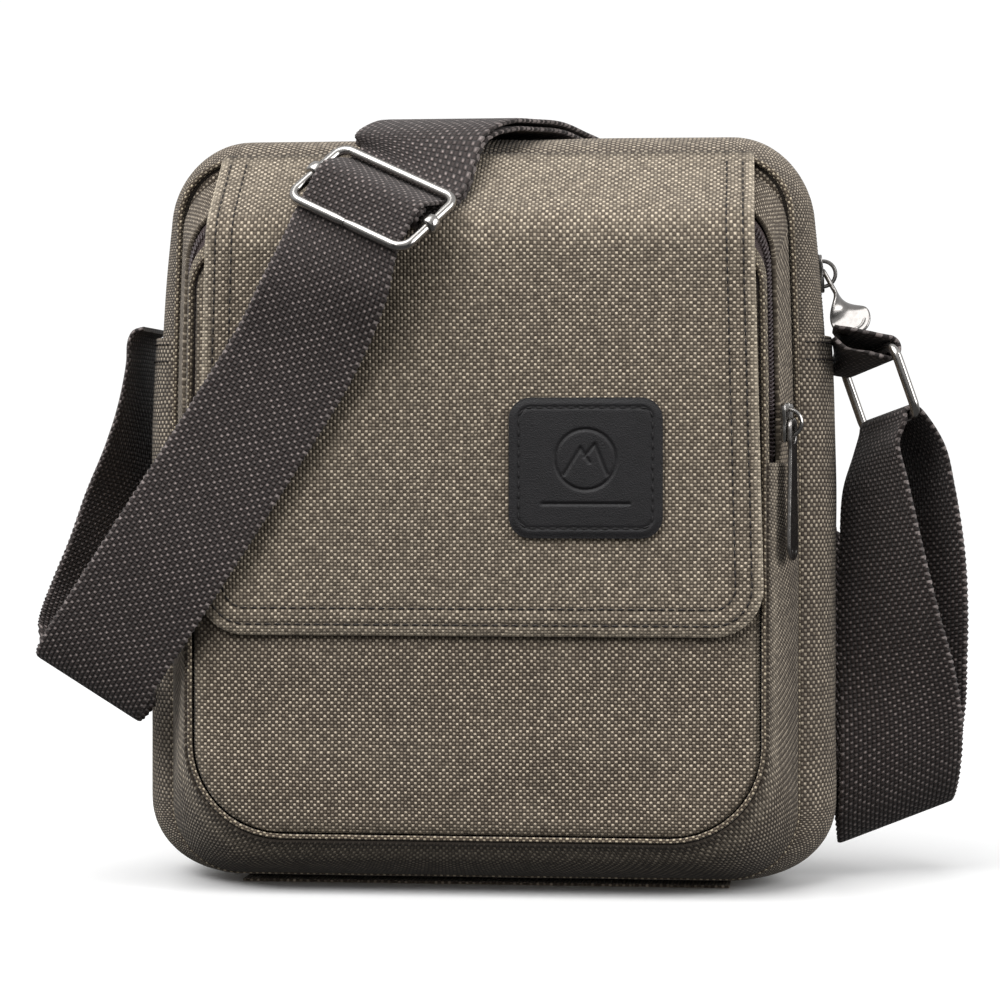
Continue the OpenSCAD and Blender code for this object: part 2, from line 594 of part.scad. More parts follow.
// the loop of webbing that holds the ring's upper bar
tab_points = concat(
    [[[107.6, 0, 172.8], [0, 1, 0]], [[110.5, 0, 171], [-0.08, 1, -0.06]],
     [[114.5, -0.5, 168.4], [-0.22, 0.95, -0.12]]],
    [for (a = [80:-30:-130]) [from_ring([3.3 * cos(a), 0, 3.3 * sin(a)]), ring_w_dir]],
    [[[112.5, -2, 162.3], [-0.3, 0.94, -0.12]], [[109.8, -0.5, 166], [-0.08, 1, 0]],
     [[107.6, 0, 169.4], [0, 1, 0]]]);
module strap_side_run() { web(side_points, to = front_points[1][0]); }
module strap_front_run() {
    web(front_points, from = side_points[len(side_points) - 2][0], to = outer_points[1][0]);
}
module strap_outer_run() {
    web(outer_points, from = front_points[len(front_points) - 2][0], to = ring_front_points[1][0]);
}
module strap_ring_front_leg() {
    web(ring_front_points, from = outer_points[len(outer_points) - 2][0], to = ring_rear_points[1][0]);
}
module strap_ring_rear_leg() {
    web(ring_rear_points, from = ring_front_points[len(ring_front_points) - 2][0],
        to = return_points[1][0]);
}
module strap_return_run() {
    web(return_points, to = ring_rear_points[len(ring_rear_points) - 2][0]);
}
module strap_tab() { web(tab_points); }

main_front_panel();
main_back_panel();
lower_gusset();
base_patch();
main_zip_band_front();
main_zip_band_rear();
main_zip_tape();
main_zip_chain();
main_zip_slider();
main_zip_pull();
lining_front();
lining_back();
lining_gusset();
base_board();
slip_pocket();
pocket_front_panel();
pocket_lower_gusset();
pocket_zip_band_front();
pocket_zip_band_rear();
pocket_zip_chain();
pocket_zip_slider();
pocket_zip_pull();
pocket_lining();
flap_outer();
flap_lining();
leather_patch();
snap_stud();
snap_socket();
back_zip_tape();
back_zip_chain();
back_zip_slider();
back_zip_pull();
back_pocket_lining();
slider_frame();
slider_bar();
strap_ring();
strap_tab();
strap_side_run();
strap_front_run();
strap_outer_run();
strap_ring_front_leg();
strap_ring_rear_leg();
strap_return_run();
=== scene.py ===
import bmesh
import bpy
import math
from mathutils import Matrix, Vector, noise


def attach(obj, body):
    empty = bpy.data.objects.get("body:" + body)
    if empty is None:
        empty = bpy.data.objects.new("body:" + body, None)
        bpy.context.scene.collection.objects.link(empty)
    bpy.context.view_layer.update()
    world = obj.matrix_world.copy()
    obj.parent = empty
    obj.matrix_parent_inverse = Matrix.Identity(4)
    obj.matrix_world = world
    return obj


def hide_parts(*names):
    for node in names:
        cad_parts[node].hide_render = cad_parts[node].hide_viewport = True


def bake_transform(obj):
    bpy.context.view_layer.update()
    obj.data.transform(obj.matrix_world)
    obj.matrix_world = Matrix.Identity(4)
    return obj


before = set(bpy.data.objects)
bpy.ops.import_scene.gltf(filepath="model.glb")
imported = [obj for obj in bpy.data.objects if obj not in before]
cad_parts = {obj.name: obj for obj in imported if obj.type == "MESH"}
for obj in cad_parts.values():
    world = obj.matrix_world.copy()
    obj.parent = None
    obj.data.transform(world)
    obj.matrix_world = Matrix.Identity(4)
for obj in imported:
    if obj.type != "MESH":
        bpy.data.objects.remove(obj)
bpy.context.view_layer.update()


# small helpers
def deselect():
    bpy.ops.object.select_all(action="DESELECT")


def lerp(a, b, t):
    return a + (b - a) * t


def smooth(a, b, x):
    t = min(max((x - a) / (b - a), 0), 1)
    return t * t * (3 - 2 * t)


def tint(code):
    # a colour written as on a colour card, in the shader's linear values
    parts = [int(code[i:i + 2], 16) / 255 for i in (1, 3, 5)]
    return [c / 12.92 if c < 0.04045 else ((c + 0.055) / 1.055) ** 2.4 for c in parts] + [1]


def wobble(x, y, z, size, much):
    # a slow unevenness of the cloth, in millimetres
    return noise.noise(Vector((x / size, y / size, z / size))) * much


# finishes: node materials
class Wire:
    # a socket that can be added, multiplied and so on
    def __init__(self, finish, socket):
        self.finish, self.socket = finish, socket

    def sum(self, kind, a, b):
        return self.finish.node("Math", {"operation": kind}, {0: a, 1: b})

    def __add__(self, other): return self.sum("ADD", self, other)
    def __radd__(self, other): return self.sum("ADD", other, self)
    def __sub__(self, other): return self.sum("SUBTRACT", self, other)
    def __rsub__(self, other): return self.sum("SUBTRACT", other, self)
    def __mul__(self, other): return self.sum("MULTIPLY", self, other)
    def __rmul__(self, other): return self.sum("MULTIPLY", other, self)
    def __truediv__(self, other): return self.sum("DIVIDE", self, other)
    def __pow__(self, other): return self.sum("POWER", self, other)
    def __mod__(self, other): return self.sum("FLOORED_MODULO", self, other)
    def floor(self): return self.sum("FLOOR", self, 0)
    def sine(self): return self.sum("SINE", self, 0)
    def size(self): return self.sum("ABSOLUTE", self, 0)
    def over(self, other): return self.sum("GREATER_THAN", self, other)


class Finish:
    def __init__(self, name, **fixed):
        self.material = bpy.data.materials.new(name)
        self.material.use_nodes = True
        self.tree = self.material.node_tree
        self.shader = self.tree.nodes["Principled BSDF"]
        for key, value in fixed.items():
            self.shader.inputs[key.replace("_", " ")].default_value = value

    def node(self, kind, settings, inputs, out=0):
        made = self.tree.nodes.new("ShaderNode" + kind)
        for key, value in settings.items():
            if key == "stops":
                ramp = made.color_ramp.elements
                while len(ramp) < len(value):
                    ramp.new(0.5)
                for stop, (place, colour) in zip(ramp, value):
                    stop.position, stop.color = place, colour
            else:
                setattr(made, key, value)
        for key, value in inputs.items():
            if isinstance(value, Wire):
                self.tree.links.new(value.socket, made.inputs[key])
            else:
                made.inputs[key].default_value = value
        return Wire(self, made.outputs[out])

    def mix(self, share, a, b, kind="MIX"):
        return self.node("Mix", {"data_type": "RGBA", "blend_type": kind, "clamp_factor": True},
                         {0: share, 6: a, 7: b}, 2)

    def noise(self, where, scale, detail=2.0):
        return self.node("TexNoise", {}, {"Vector": where, "Scale": scale, "Detail": detail})

    def feed(self, **links):
        for key, wire in links.items():
            self.tree.links.new(wire.socket, self.shader.inputs[key.replace("_", " ")])

    def bump(self, height, distance, strength=1.0):
        normal = self.node("Bump", {}, {"Height": height, "Distance": distance, "Strength": strength})
        self.feed(Normal=normal)

    def place(self):
        return self.node("TexCoord", {}, {}, 3)

    def cloth(self):
        # the cloth's own coordinates, in metres along and across its threads
        where = self.node("UVMap", {"uv_map": "cloth"}, {})
        return where, self.node("SeparateXYZ", {}, {0: where}, 0), self.node("SeparateXYZ", {}, {0: where}, 1)

    def attribute(self, name):
        return self.node("Attribute", {"attribute_name": name}, {}, 2)


# canvas: light floats in a chequer over darker threads
canvasLook = dict(light="#d9cab4", mid="#7d6f60", dark="#30271f", pitchU=1.06, pitchV=1.0, mottle=0.16)


def makeCanvas(name, shade=1.0, light=canvasLook["light"]):
    f = Finish(name, Roughness=0.88, Specular_IOR_Level=0.25, Sheen_Weight=0.12, Sheen_Roughness=0.5)
    where, u, v = f.cloth()
    sway = f.noise(where, 90, 1) - 0.5
    u = (u + sway * 0.0009) / (canvasLook["pitchU"] / 1000)
    v = (v + sway * 0.0007) / (canvasLook["pitchV"] / 1000)
    i, j = u.floor(), v.floor()
    over = (i + j) % 2
    a, b = u - i - 0.5, v - j - 0.5
    hill = (1 - 4 * a * a) * (1 - 3.4 * b * b)
    cell = f.node("CombineXYZ", {}, {0: i, 1: j, 2: 0})
    chance = f.node("TexWhiteNoise", {"noise_dimensions": "2D"}, {"Vector": cell})
    row = f.node("TexWhiteNoise", {"noise_dimensions": "1D"}, {"W": j})
    slub = f.noise(f.node("CombineXYZ", {}, {0: u * 0.09, 1: j * 0.7, 2: 0}), 3.0, 2)
    weft = (hill ** 0.8) * (0.2 + 0.62 * chance + 0.4 * slub)
    ground = f.mix(hill * (0.25 + 0.3 * chance), tint(canvasLook["dark"]), tint(canvasLook["mid"]))
    threads = f.mix(over * weft, ground, tint(light))
    cloud = f.noise(f.place(), 26, 3)
    tone = f.noise(f.place(), 9, 2)
    spread = canvasLook["mottle"]
    level = shade * (1 - spread * 0.9 + spread * 1.8 * (cloud * 0.6 + tone * 0.4) + 0.05 * row)
    grey = f.node("CombineColor", {}, {0: level, 1: level, 2: level})
    colour = f.mix(1.0, threads, grey, "MULTIPLY")
    # this mark lightens the canvas: wear at rubbed edges, and painted light on the flap's upper part
    wornAndLit = f.attribute("wear")
    colour = f.mix(wornAndLit * (0.2 + 0.4 * chance), colour, tint("#d3c6b0"))
    shaded = f.attribute("shade")
    colour = f.mix(shaded, colour, tint("#231d17"))
    f.feed(Base_Color=colour)
    f.bump(hill * (0.55 + 0.45 * over) + 0.15 * slub, 0.00045, 0.9)
    return f.material


# webbing colours; the light tone is a painted highlight on the crowns of the floats
webbingLook = dict(dark="#150d0b", mid="#342825", light="#9c8e8a", pitchU=1.4, pitchV=1.3)


def makeWebbing():
    f = Finish("darkWebbing", Specular_IOR_Level=0.45, Sheen_Weight=0.1)
    where, u, v = f.cloth()
    sway = f.noise(where, 60, 1) - 0.5
    across = u / (webbingLook["pitchU"] / 1000)
    along = (v + sway * 0.0008) / (webbingLook["pitchV"] / 1000)
    i, j = across.floor(), along.floor()
    over = (i + j) % 2
    a, b = across - i - 0.5, along - j - 0.5
    hill = (1 - 4 * a * a) * (1 - 3.6 * b * b)
    cell = f.node("CombineXYZ", {}, {0: i, 1: j, 2: 0})
    chance = f.node("TexWhiteNoise", {"noise_dimensions": "2D"}, {"Vector": cell})
    ground = f.mix(hill * 0.8, tint(webbingLook["dark"]), tint(webbingLook["mid"]))
    # the crowns of the floats take the light tone as a painted highlight
    crown = over * (hill ** 2.4) * (0.25 + 0.75 * chance)
    colour = f.mix(crown, ground, tint(webbingLook["light"]))
    edge = f.attribute("wear")
    colour = f.mix(edge * (0.2 + 0.6 * chance) * over, colour, tint("#9a8f8c"))
    f.feed(Base_Color=colour, Roughness=0.72 - 0.3 * crown)
    f.bump(hill * (0.35 + 0.65 * over), 0.0007, 1.0)
    return f.material


def makeTape():
    # woven zip tape in a fine herringbone
    f = Finish("zipTape", Roughness=0.8, Specular_IOR_Level=0.3)
    where, u, v = f.cloth()
    fold = ((v / 0.0036) % 1 - 0.5).size()
    ribs = ((u / 0.0011 + fold * 3.2) * 6.283).sine() * 0.5 + 0.5
    haze = f.noise(where, 900, 2)
    f.feed(Base_Color=f.mix(ribs * 0.7 + haze * 0.3, tint("#2d2425"), tint("#5d5150")))
    f.bump(ribs, 0.0002, 0.8)
    return f.material


def makeCoil():
    f = Finish("zipCoil", Roughness=0.42, Specular_IOR_Level=0.5)
    f.feed(Base_Color=f.mix(f.noise(f.place(), 700, 2), tint("#2a2223"), tint("#55494a")))
    return f.material


def makeLining():
    # fine plain lining cloth
    f = Finish("liningCloth", Roughness=0.75, Specular_IOR_Level=0.3)
    where = f.place()
    x = f.node("SeparateXYZ", {}, {0: where}, 0)
    z = f.node("SeparateXYZ", {}, {0: where}, 2)
    weft = (x * 9000).sine() * (z * 9000).sine()
    f.feed(Base_Color=f.mix(0.5 + 0.5 * weft, tint("#3a3130"), tint("#544948")))
    f.bump(weft, 0.0001, 0.5)
    return f.material


def makeLeather():
    f = Finish("grainLeather", Specular_IOR_Level=0.4, Coat_Weight=0.06, Coat_Roughness=0.4)
    where = f.place()
    cells = f.node("TexVoronoi", {"feature": "DISTANCE_TO_EDGE"}, {"Vector": where, "Scale": 1500})
    fine = f.noise(where, 2600, 3)
    wide = f.noise(where, 160, 3)
    f.feed(Base_Color=f.mix(wide, tint("#0a090b"), tint("#19171a")), Roughness=0.46 + 0.22 * fine)
    f.bump((cells ** 0.5) * 0.6 + fine * 0.5, 0.00022, 0.8)
    return f.material


def makeMetal(name, low, high, rough):
    f = Finish(name, Metallic=1.0)
    where = f.place()
    scuff = f.noise(where, 900, 4)
    f.feed(Base_Color=f.mix(scuff, tint(low), tint(high)), Roughness=rough + 0.12 * f.noise(where, 260, 3))
    f.bump(scuff, 0.00004, 0.4)
    return f.material


def makeThread(name, colour):
    f = Finish(name, Roughness=0.7)
    ply = (f.node("SeparateXYZ", {}, {0: f.place()}, 0) * 14000).sine()
    f.feed(Base_Color=f.mix(0.5 + 0.35 * ply, tint(colour), tint("#0e0b0a")))
    return f.material


def makeBoard():
    f = Finish("stiffBoard", Roughness=0.8)
    f.feed(Base_Color=f.mix(f.noise(f.place(), 300, 4), tint("#1d1d1d"), tint("#343434")))
    return f.material


# the canvas, then a darker copy as painted shade for parts that sit in shadow, and a brighter copy as painted light
# for rolled seams and folded edges
canvas = makeCanvas("heatherCanvas")
canvasShade = makeCanvas("heatherCanvasShade", 0.86)
canvasLit = makeCanvas("heatherCanvasLit", 1.08, "#cdbfa5")
webbing = makeWebbing()
tape = makeTape()
coil = makeCoil()
lining = makeLining()
leather = makeLeather()
nickel = makeMetal("brightNickel", "#989592", "#bab7b3", 0.16)
gunmetal = makeMetal("greyNickel", "#757270", "#9c9996", 0.2)
darkThread = makeThread("darkThread", "#2b2320")
blackThread = makeThread("blackThread", "#19171a")
board = makeBoard()
print("finishes made")


# making pieces
def settle(piece, name, body, nodes, material):
    piece.name = piece.data.name = name
    piece.data.materials.clear()
    piece.data.materials.append(material)
    for p in piece.data.polygons:
        p.material_index = 0
    if body:
        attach(piece, body)
    if nodes:
        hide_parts(*nodes)
    return piece


def modify(piece, kind, **settings):
    deselect()
    piece.select_set(True)
    bpy.context.view_layer.objects.active = piece
    bpy.ops.object.modifier_add(type=kind)
    added = piece.modifiers[-1]
    for key, value in settings.items():
        setattr(added, key, value)
    bpy.ops.object.modifier_apply(modifier=added.name)


def edit(piece, *steps):
    # edit-mode operators on the whole piece, or on what a step selects
    deselect()
    piece.select_set(True)
    bpy.context.view_layer.objects.active = piece
    bpy.ops.object.mode_set(mode="EDIT")
    bpy.ops.mesh.select_mode(type="VERT")
    bpy.ops.mesh.select_all(action="SELECT")
    for step in steps:
        step()
    bpy.ops.object.mode_set(mode="OBJECT")


def rounded(piece, angle=50):
    deselect()
    piece.select_set(True)
    bpy.context.view_layer.objects.active = piece
    bpy.ops.object.shade_smooth_by_angle(angle=math.radians(angle))


def sheetGrid(nu, nv, place, uvAt=None, marks=None):
    # a grid laid through place(u, v) in millimetres; uvAt gives metres on the cloth
    deselect()
    bpy.ops.mesh.primitive_grid_add(x_subdivisions=nu, y_subdivisions=nv, size=1, calc_uvs=True)
    piece = bpy.context.object
    mesh = piece.data
    share = [(min(max(p.co.x + 0.5, 0), 1), min(max(p.co.y + 0.5, 0), 1)) for p in mesh.vertices]
    if uvAt is None:
        rows = [Vector(place(i / nu, 0.5)) for i in range(nu + 1)]
        columns = [Vector(place(0.5, j / nv)) for j in range(nv + 1)]
        wide = sum((b - a).length for a, b in zip(rows, rows[1:])) / 1000
        tall = sum((b - a).length for a, b in zip(columns, columns[1:])) / 1000
        uvAt = lambda u, v: (u * wide, v * tall)
    where = [uvAt(u, v) for u, v in share]
    layer = mesh.uv_layers[0]
    layer.name = "cloth"
    for loop in mesh.loops:
        layer.data[loop.index].uv = where[loop.vertex_index]
    for name, mark in (marks or {}).items():
        values = mesh.attributes.new(name, "FLOAT", "POINT")
        for n, (u, v) in enumerate(share):
            values.data[n].value = mark(u, v)
    for vertex, (u, v) in zip(mesh.vertices, share):
        vertex.co = Vector(place(u, v)) / 1000
    return piece


def thicken(piece, thick, edge=0.45, segments=2):
    modify(piece, "SOLIDIFY", thickness=thick / 1000, offset=-1, use_even_offset=False)
    if edge:
        modify(piece, "BEVEL", width=edge / 1000, segments=segments, limit_method="ANGLE",
               angle_limit=math.radians(48), harden_normals=False)
    rounded(piece, 60)


def facesOut(piece, middle):
    # true if the sheet's faces look away from that point
    total = 0
    for p in piece.data.polygons:
        total += p.normal.dot(p.center - Vector(middle) / 1000) * p.area
    return total > 0


def outward(piece, middle=(0, 0, 112)):
    if not facesOut(piece, middle):
        edit(piece, bpy.ops.mesh.flip_normals)


def clothSheet(name, nu, nv, place, thick, nodes, material, slot="canvas", marks=None, edge=0.45,
               body="root", uvAt=None, middle=(0, 0, 112), segments=2):
    # a sheet laid through place, turned to face away from middle and thickened inwards
    piece = sheetGrid(nu, nv, place, uvAt, marks)
    outward(piece, middle)
    thicken(piece, thick, edge, segments)
    return settle(piece, name, body, nodes, material)


def sweep(stations, profile, marks=None):
    # profile points (across, off, mark across in mm) carried along stations (point, across, off)
    n, m = len(stations), len(profile)
    lengths = [0]
    for a, b in zip(stations, stations[1:]):
        lengths.append(lengths[-1] + (b[0] - a[0]).length)

    def at(u, v):
        i, j = round(u * (n - 1)), round(v * m) % m
        return i, j

    def place(u, v):
        i, j = at(u, v)
        p, across, off = stations[i]
        q = profile[j]
        bump = q[3] if len(q) > 3 else 0
        return p + across * (q[0] + bump * (0.5 if i % 2 else -0.5)) + off * q[1]

    def uvAt(u, v):
        i, j = at(u, v)
        return profile[j][2] / 1000, lengths[i] / 1000

    share = {name: (lambda u, v, mark=mark: mark(*at(u, v))) for name, mark in (marks or {}).items()}
    piece = sheetGrid(n - 1, m, place, uvAt, share)
    edit(piece, lambda: bpy.ops.mesh.remove_doubles(threshold=1e-6),
         lambda: bpy.ops.mesh.select_all(action="DESELECT"),
         bpy.ops.mesh.select_non_manifold,
         lambda: bpy.ops.mesh.fill_holes(sides=0),
         lambda: bpy.ops.mesh.select_all(action="SELECT"),
         lambda: bpy.ops.mesh.normals_make_consistent(inside=False))
    rounded(piece, 60)
    return piece


def carry(points):
    # points of a line with a frame that turns as little as it can
    points = [Vector(p) for p in points]
    n = len(points)
    made, side = [], None
    for i, p in enumerate(points):
        a, b = points[max(i - 1, 0)], points[min(i + 1, n - 1)]
        t = (b - a).normalized()
        if side is None:
            side = t.cross(Vector((0.13, 0.31, 0.94))).normalized()
        side = (side - t * side.dot(t)).normalized()
        made.append((p, side, t.cross(side)))
    return made


def tube(points, radius, sides=10, radii=None):
    made = carry(points)
    ring = [(math.cos(2 * math.pi * k / sides), math.sin(2 * math.pi * k / sides)) for k in range(sides)]
    if radii is None:
        radii = [radius] * len(made)
    stations = [(p, a * r, b * r) for (p, a, b), r in zip(made, radii)]
    return sweep(stations, [(c, s, 6.283 * radius * k / sides) for k, (c, s) in enumerate(ring)])


def join(pieces):
    deselect()
    for p in pieces:
        p.select_set(True)
    bpy.context.view_layer.objects.active = pieces[0]
    bpy.ops.object.join()
    return pieces[0]


# the bag's lines, in millimetres
bag = dict(width=192, height=224, depth=55, frontY=-25, sideSwell=11, topSwell=9.2, bottomSwell=2,
           lowRadius=20, topRadius=18, lean=3, leanFrom=120, canvas=1.6, bandGap=0.45, gap=0.2,
           seamZ=170, bandLap=7, archPower=2.6, patch=0.8)
pocket = dict(width=173.5, z0=18, z1=197, y=-50, depth=25, roll=3, sideRoll=0.8, rollAt=0.3, radius=28,
              zipZ=131, lap=5, zipAt=0.32, bandFront=0.1, bandRear=0.43, tape=(0.07, 0.46))


def line(width, lean, low, high, lowRadius, topRadius):
    return dict(w=width, lean=lean, low=low, high=high, rl=lowRadius, rt=topRadius)


def shrink(o, by):
    return line(o["w"] - 2 * by, o["lean"], o["low"] + by, o["high"] - by, o["rl"] - by, o["rt"] - by)


mainLow = bag["bottomSwell"] + bag["canvas"] + bag["patch"] + bag["gap"]
mainLine = line(bag["width"], bag["lean"], mainLow, bag["height"], bag["lowRadius"], bag["topRadius"])
pocketLine = line(pocket["width"], 1, pocket["z0"], pocket["z1"], pocket["radius"], pocket["radius"] / 2)
wallLine = shrink(mainLine, 0.5)
wallTop = line(bag["width"] - 1, bag["lean"], mainLow, bag["height"] - 4, bag["lowRadius"], bag["topRadius"])


def leanAt(o, z):
    return max(0, (z - bag["leanFrom"]) / (o["high"] - bag["leanFrom"]))


def sidePoint(o, z):
    a = math.atan(2 * o["lean"] * leanAt(o, z) / (o["high"] - bag["leanFrom"]))
    return (o["w"] / 2 - o["lean"] * leanAt(o, z) ** 2, z, math.cos(a), math.sin(a))


def corner(cx, cz, r, a0, a1, n):
    return [(cx + r * math.cos(a), cz + r * math.sin(a), math.cos(a), math.sin(a))
            for a in (lerp(a0, a1, k / n) for k in range(n + 1))]


def lowHalf(o, z, n=20, m=44):
    zc = o["low"] + o["rl"]
    flat = o["w"] / 2 - o["rl"]
    return ([(flat * k / 30, o["low"], 0, -1) for k in range(30)]
            + corner(flat, zc, o["rl"], -math.pi / 2, 0, n)
            + [sidePoint(o, lerp(zc, z, k / m)) for k in range(1, m + 1)])


def topHalf(o, z, n=20, m=26):
    zc = o["high"] - o["rt"]
    a = math.atan(2 * o["lean"] * leanAt(o, zc) / (o["high"] - bag["leanFrom"]))
    x = sidePoint(o, zc)[0] - o["rt"] * math.cos(a)
    return ([sidePoint(o, lerp(z, zc, k / m)) for k in range(m)]
            + corner(x, zc, o["rt"], a, math.pi / 2, n)
            + [(x * (1 - k / 30), o["high"], 0, 1) for k in range(1, 31)])


def mirrored(points):
    return [(-x, z, -nx, nz) for x, z, nx, nz in reversed(points)]


def lowPath(o, z):
    half = lowHalf(o, z)
    return mirrored(half) + half[1:]


def topPath(o, z):
    half = topHalf(o, z)
    return half + mirrored(half)[1:]


def along(path, u):
    # the point at share u of the path's own list
    k = min(u * (len(path) - 1), len(path) - 1.000001)
    i = int(k)
    a, b = path[i], path[i + 1]
    return [lerp(a[c], b[c], k - i) for c in range(4)]


def swell(p):
    rise = bag["topSwell"] if p[3] > 0 else bag["bottomSwell"]
    return p[2] * p[2] * (bag["sideSwell"] - 4 * leanAt(mainLine, p[1]) ** 2) + p[3] * p[3] * rise


def arch(s):
    return 1 - abs(2 * s - 1) ** bag["archPower"]


def gusset(p, s, off):
    h = swell(p) * arch(s) + off
    return [p[0] + p[2] * h, bag["frontY"] + bag["depth"] * s, p[1] + p[3] * h]


def rollAt(s):
    if s < pocket["rollAt"]:
        return math.sin(s / pocket["rollAt"] * math.pi / 2)
    return math.cos((s - pocket["rollAt"]) / (1 - pocket["rollAt"]) * math.pi / 2)


wallDepth = pocket["depth"] - bag["gap"] - bag["canvas"] / 2


def wall(a, b, s, off):
    h = (pocket["sideRoll"] * a[2] ** 2 + pocket["roll"] * a[3] ** 2) * rollAt(s) + off
    return [lerp(a[0], b[0], s) + a[2] * h, pocket["y"] + wallDepth * s, lerp(a[1], b[1], s) + a[3] * h]


def strip(name, path, s0, s1, off, nodes, material=canvas, slot="canvas", size=(220, 26), soft=0.35,
          marks=None, thick=bag["canvas"], edge=0.45):
    # part of the main gusset, from s0 to s1 of the bag's depth
    def place(u, v):
        p = along(path, u)
        s = lerp(s0, s1, v)
        lift = wobble(p[0], s * bag["depth"], p[1], 26, soft) * arch(s) if soft else 0
        return gusset(p, s, off + thick + lift)
    return clothSheet(name, *size, place, thick, nodes, material, slot, marks, edge)


def wallStrip(name, a, b, s0, s1, off, nodes, material=canvas, slot="canvas", size=(240, 16), soft=0.4,
              marks=None, thick=bag["canvas"], edge=0.45):
    # part of the front compartment's wall, between its outline a and the bag's outline b
    def place(u, v):
        p, q = along(a, u), along(b, u)
        s = lerp(s0, s1, v)
        lift = wobble(p[0], s * 40, p[1], 22, soft) * math.sin(math.pi * s) if soft else 0
        return wall(p, q, s, off + thick + lift)
    return clothSheet(name, *size, place, thick, nodes, material, slot, marks, edge)


def panel(name, o, y, face, puff, nodes, material, step, marks=None):
    # a flat panel inside outline o whose faces look along face (-1 front, 1 back)
    side = lowHalf(o, 100)[30:] + topHalf(o, 100)[:47]

    def where(u, v):
        half, z = along(side, v)[:2]
        return (2 * u - 1) * half, z, half

    def place(u, v):
        x, z, half = where(u, v)
        rim = min(half - abs(x), z - o["low"], o["high"] - z)
        return x, y + face * puff(x, z, rim), z
    return clothSheet(name, int(o["w"] / step), len(side) - 1, place, bag["canvas"], nodes, material,
                      marks={k: (lambda u, v, m=m: m(*where(u, v))) for k, m in (marks or {}).items()},
                      uvAt=lambda u, v: tuple(c / 1000 for c in where(u, v)[:2]),
                      middle=(0, y - face * 40, 110))


# main compartment; the canvas gets darker down in the seams
lowMain, topMain = lowPath(mainLine, bag["seamZ"]), topPath(mainLine, bag["seamZ"] - bag["bandLap"])
bandOff = -bag["canvas"] - bag["bandGap"]
chain = dict(width=5.5, clear=0.4, tape=13)
bandS = 0.5 - (chain["width"] / 2 + chain["clear"]) / bag["depth"]
tapeS = chain["tape"] / 2 / bag["depth"]
strip("lowerGusset", lowMain, 0, 1, 0, ["lower_gusset"], size=(300, 34),
      marks={"shade": lambda u, v: 0.35 * (math.exp(-v * 16) + math.exp(-(1 - v) * 16))})
strip("mainZipBandFront", topMain, 0, bandS, bandOff, ["main_zip_band_front"],
      marks={"shade": lambda u, v: 0.95 * math.exp(-v * 7)})
strip("mainZipBandRear", topMain, 1 - bandS, 1, bandOff, ["main_zip_band_rear"],
      marks={"shade": lambda u, v: 0.4 * math.exp(-(1 - v) * 14)})
strip("mainZipTape", topMain, 0.5 - tapeS, 0.5 + tapeS, bandOff - 0.8, ["main_zip_tape"], tape, "zip_tape",
      (220, 8), 0, thick=0.6, edge=0)
clothSheet("basePatch", 76, 24, lambda u, v: (lerp(-76, 76, u), lerp(-21, 26, v), 0), bag["patch"],
           ["base_patch"], canvasShade, edge=0.2)
print("main gusset made")


def flatPuff(x, z, rim):
    return -1.2 * math.exp(-rim / 2.2)


def backPuff(x, z, rim):
    # cushions out a little and dips at its seam and along the zip
    dip = 0.7 * math.exp(-((z - 178) / 6) ** 2) * (1 if abs(x) < 78 else 0)
    return (1.6 * smooth(0, 45, rim) - 1.3 * math.exp(-rim / 2.5) - dip
            + wobble(x, 30, z, 34, 0.5) * smooth(0, 12, rim))


# the panels' edges reach into the gusset's cloth, so no light passes between them
panelLine = shrink(mainLine, -0.5)
panel("mainFrontPanel", panelLine, bag["frontY"], -1, flatPuff, ["main_front_panel"], canvasShade, 4)
panel("mainBackPanel", panelLine, bag["frontY"] + bag["depth"], 1, backPuff, ["main_back_panel"], canvas, 2.2)

# front compartment
lowP, lowW = lowPath(pocketLine, pocket["zipZ"]), lowPath(wallLine, pocket["zipZ"])
topP = topPath(pocketLine, pocket["zipZ"] - pocket["lap"])
topW = topPath(wallTop, pocket["zipZ"] - pocket["lap"])
wallMarks = {"shade": lambda u, v: 0.55 * math.exp(-v * 22) + 0.28 * smooth(0.35, 0.9, v)
             + 0.45 * max(0, -along(lowP, u)[3]) ** 2,
             "wear": lambda u, v: 0.35 * math.exp(-((v - 0.14) / 0.09) ** 2)}
wallStrip("pocketLowerGusset", lowP, lowW, 0, 1, 0, ["pocket_lower_gusset"], size=(300, 24), marks=wallMarks)
# the front band takes the brighter canvas copy: painted light on the pocket's top roll
wallStrip("pocketBandFront", topP, topW, 0, pocket["bandFront"], bandOff + 0.9, ["pocket_zip_band_front"],
          canvasLit, size=(240, 8), soft=0.2,
          marks={"shade": lambda u, v: 0.4 * math.exp(-v * 6), "wear": lambda u, v: 0.25 * v})
wallStrip("pocketBandRear", topP, topW, pocket["bandRear"], 1, bandOff + 0.6, ["pocket_zip_band_rear"],
          soft=0.3, marks={"shade": lambda u, v: 0.3 * math.exp(-(1 - v) * 10),
                           "wear": lambda u, v: 0.2 * math.exp(-v * 10)})
wallStrip("pocketZipTape", topP, topW, *pocket["tape"], bandOff - 0.6, ["pocket_zip_chain"], tape, "zip_tape",
          (240, 8), 0, thick=0.7, edge=0)


def pocketPuff(x, z, rim):
    free = 1 - smooth(70, 88, z)   # the flap presses the part above flat
    soft = 1.4 * smooth(2, 30, rim) + wobble(x, 5, z, 30, 0.9) * smooth(2, 14, rim)
    return -2.0 * math.exp(-rim / 1.8) + free * soft


def pocketWear(x, z, half):
    edge = min(half - abs(x), z - pocket["z0"] - 1)
    return 0.5 * math.exp(-edge / 1.6) + 0.1 * max(0, wobble(x, 0, z, 18, 1))


panel("pocketFrontPanel", shrink(pocketLine, 0.9), pocket["y"], -1, pocketPuff, ["pocket_front_panel"],
      canvas, 1.5, {"wear": pocketWear, "shade": lambda x, z, half: 0.35 * math.exp(-abs(z - 78) / 5)})
print("front compartment made")


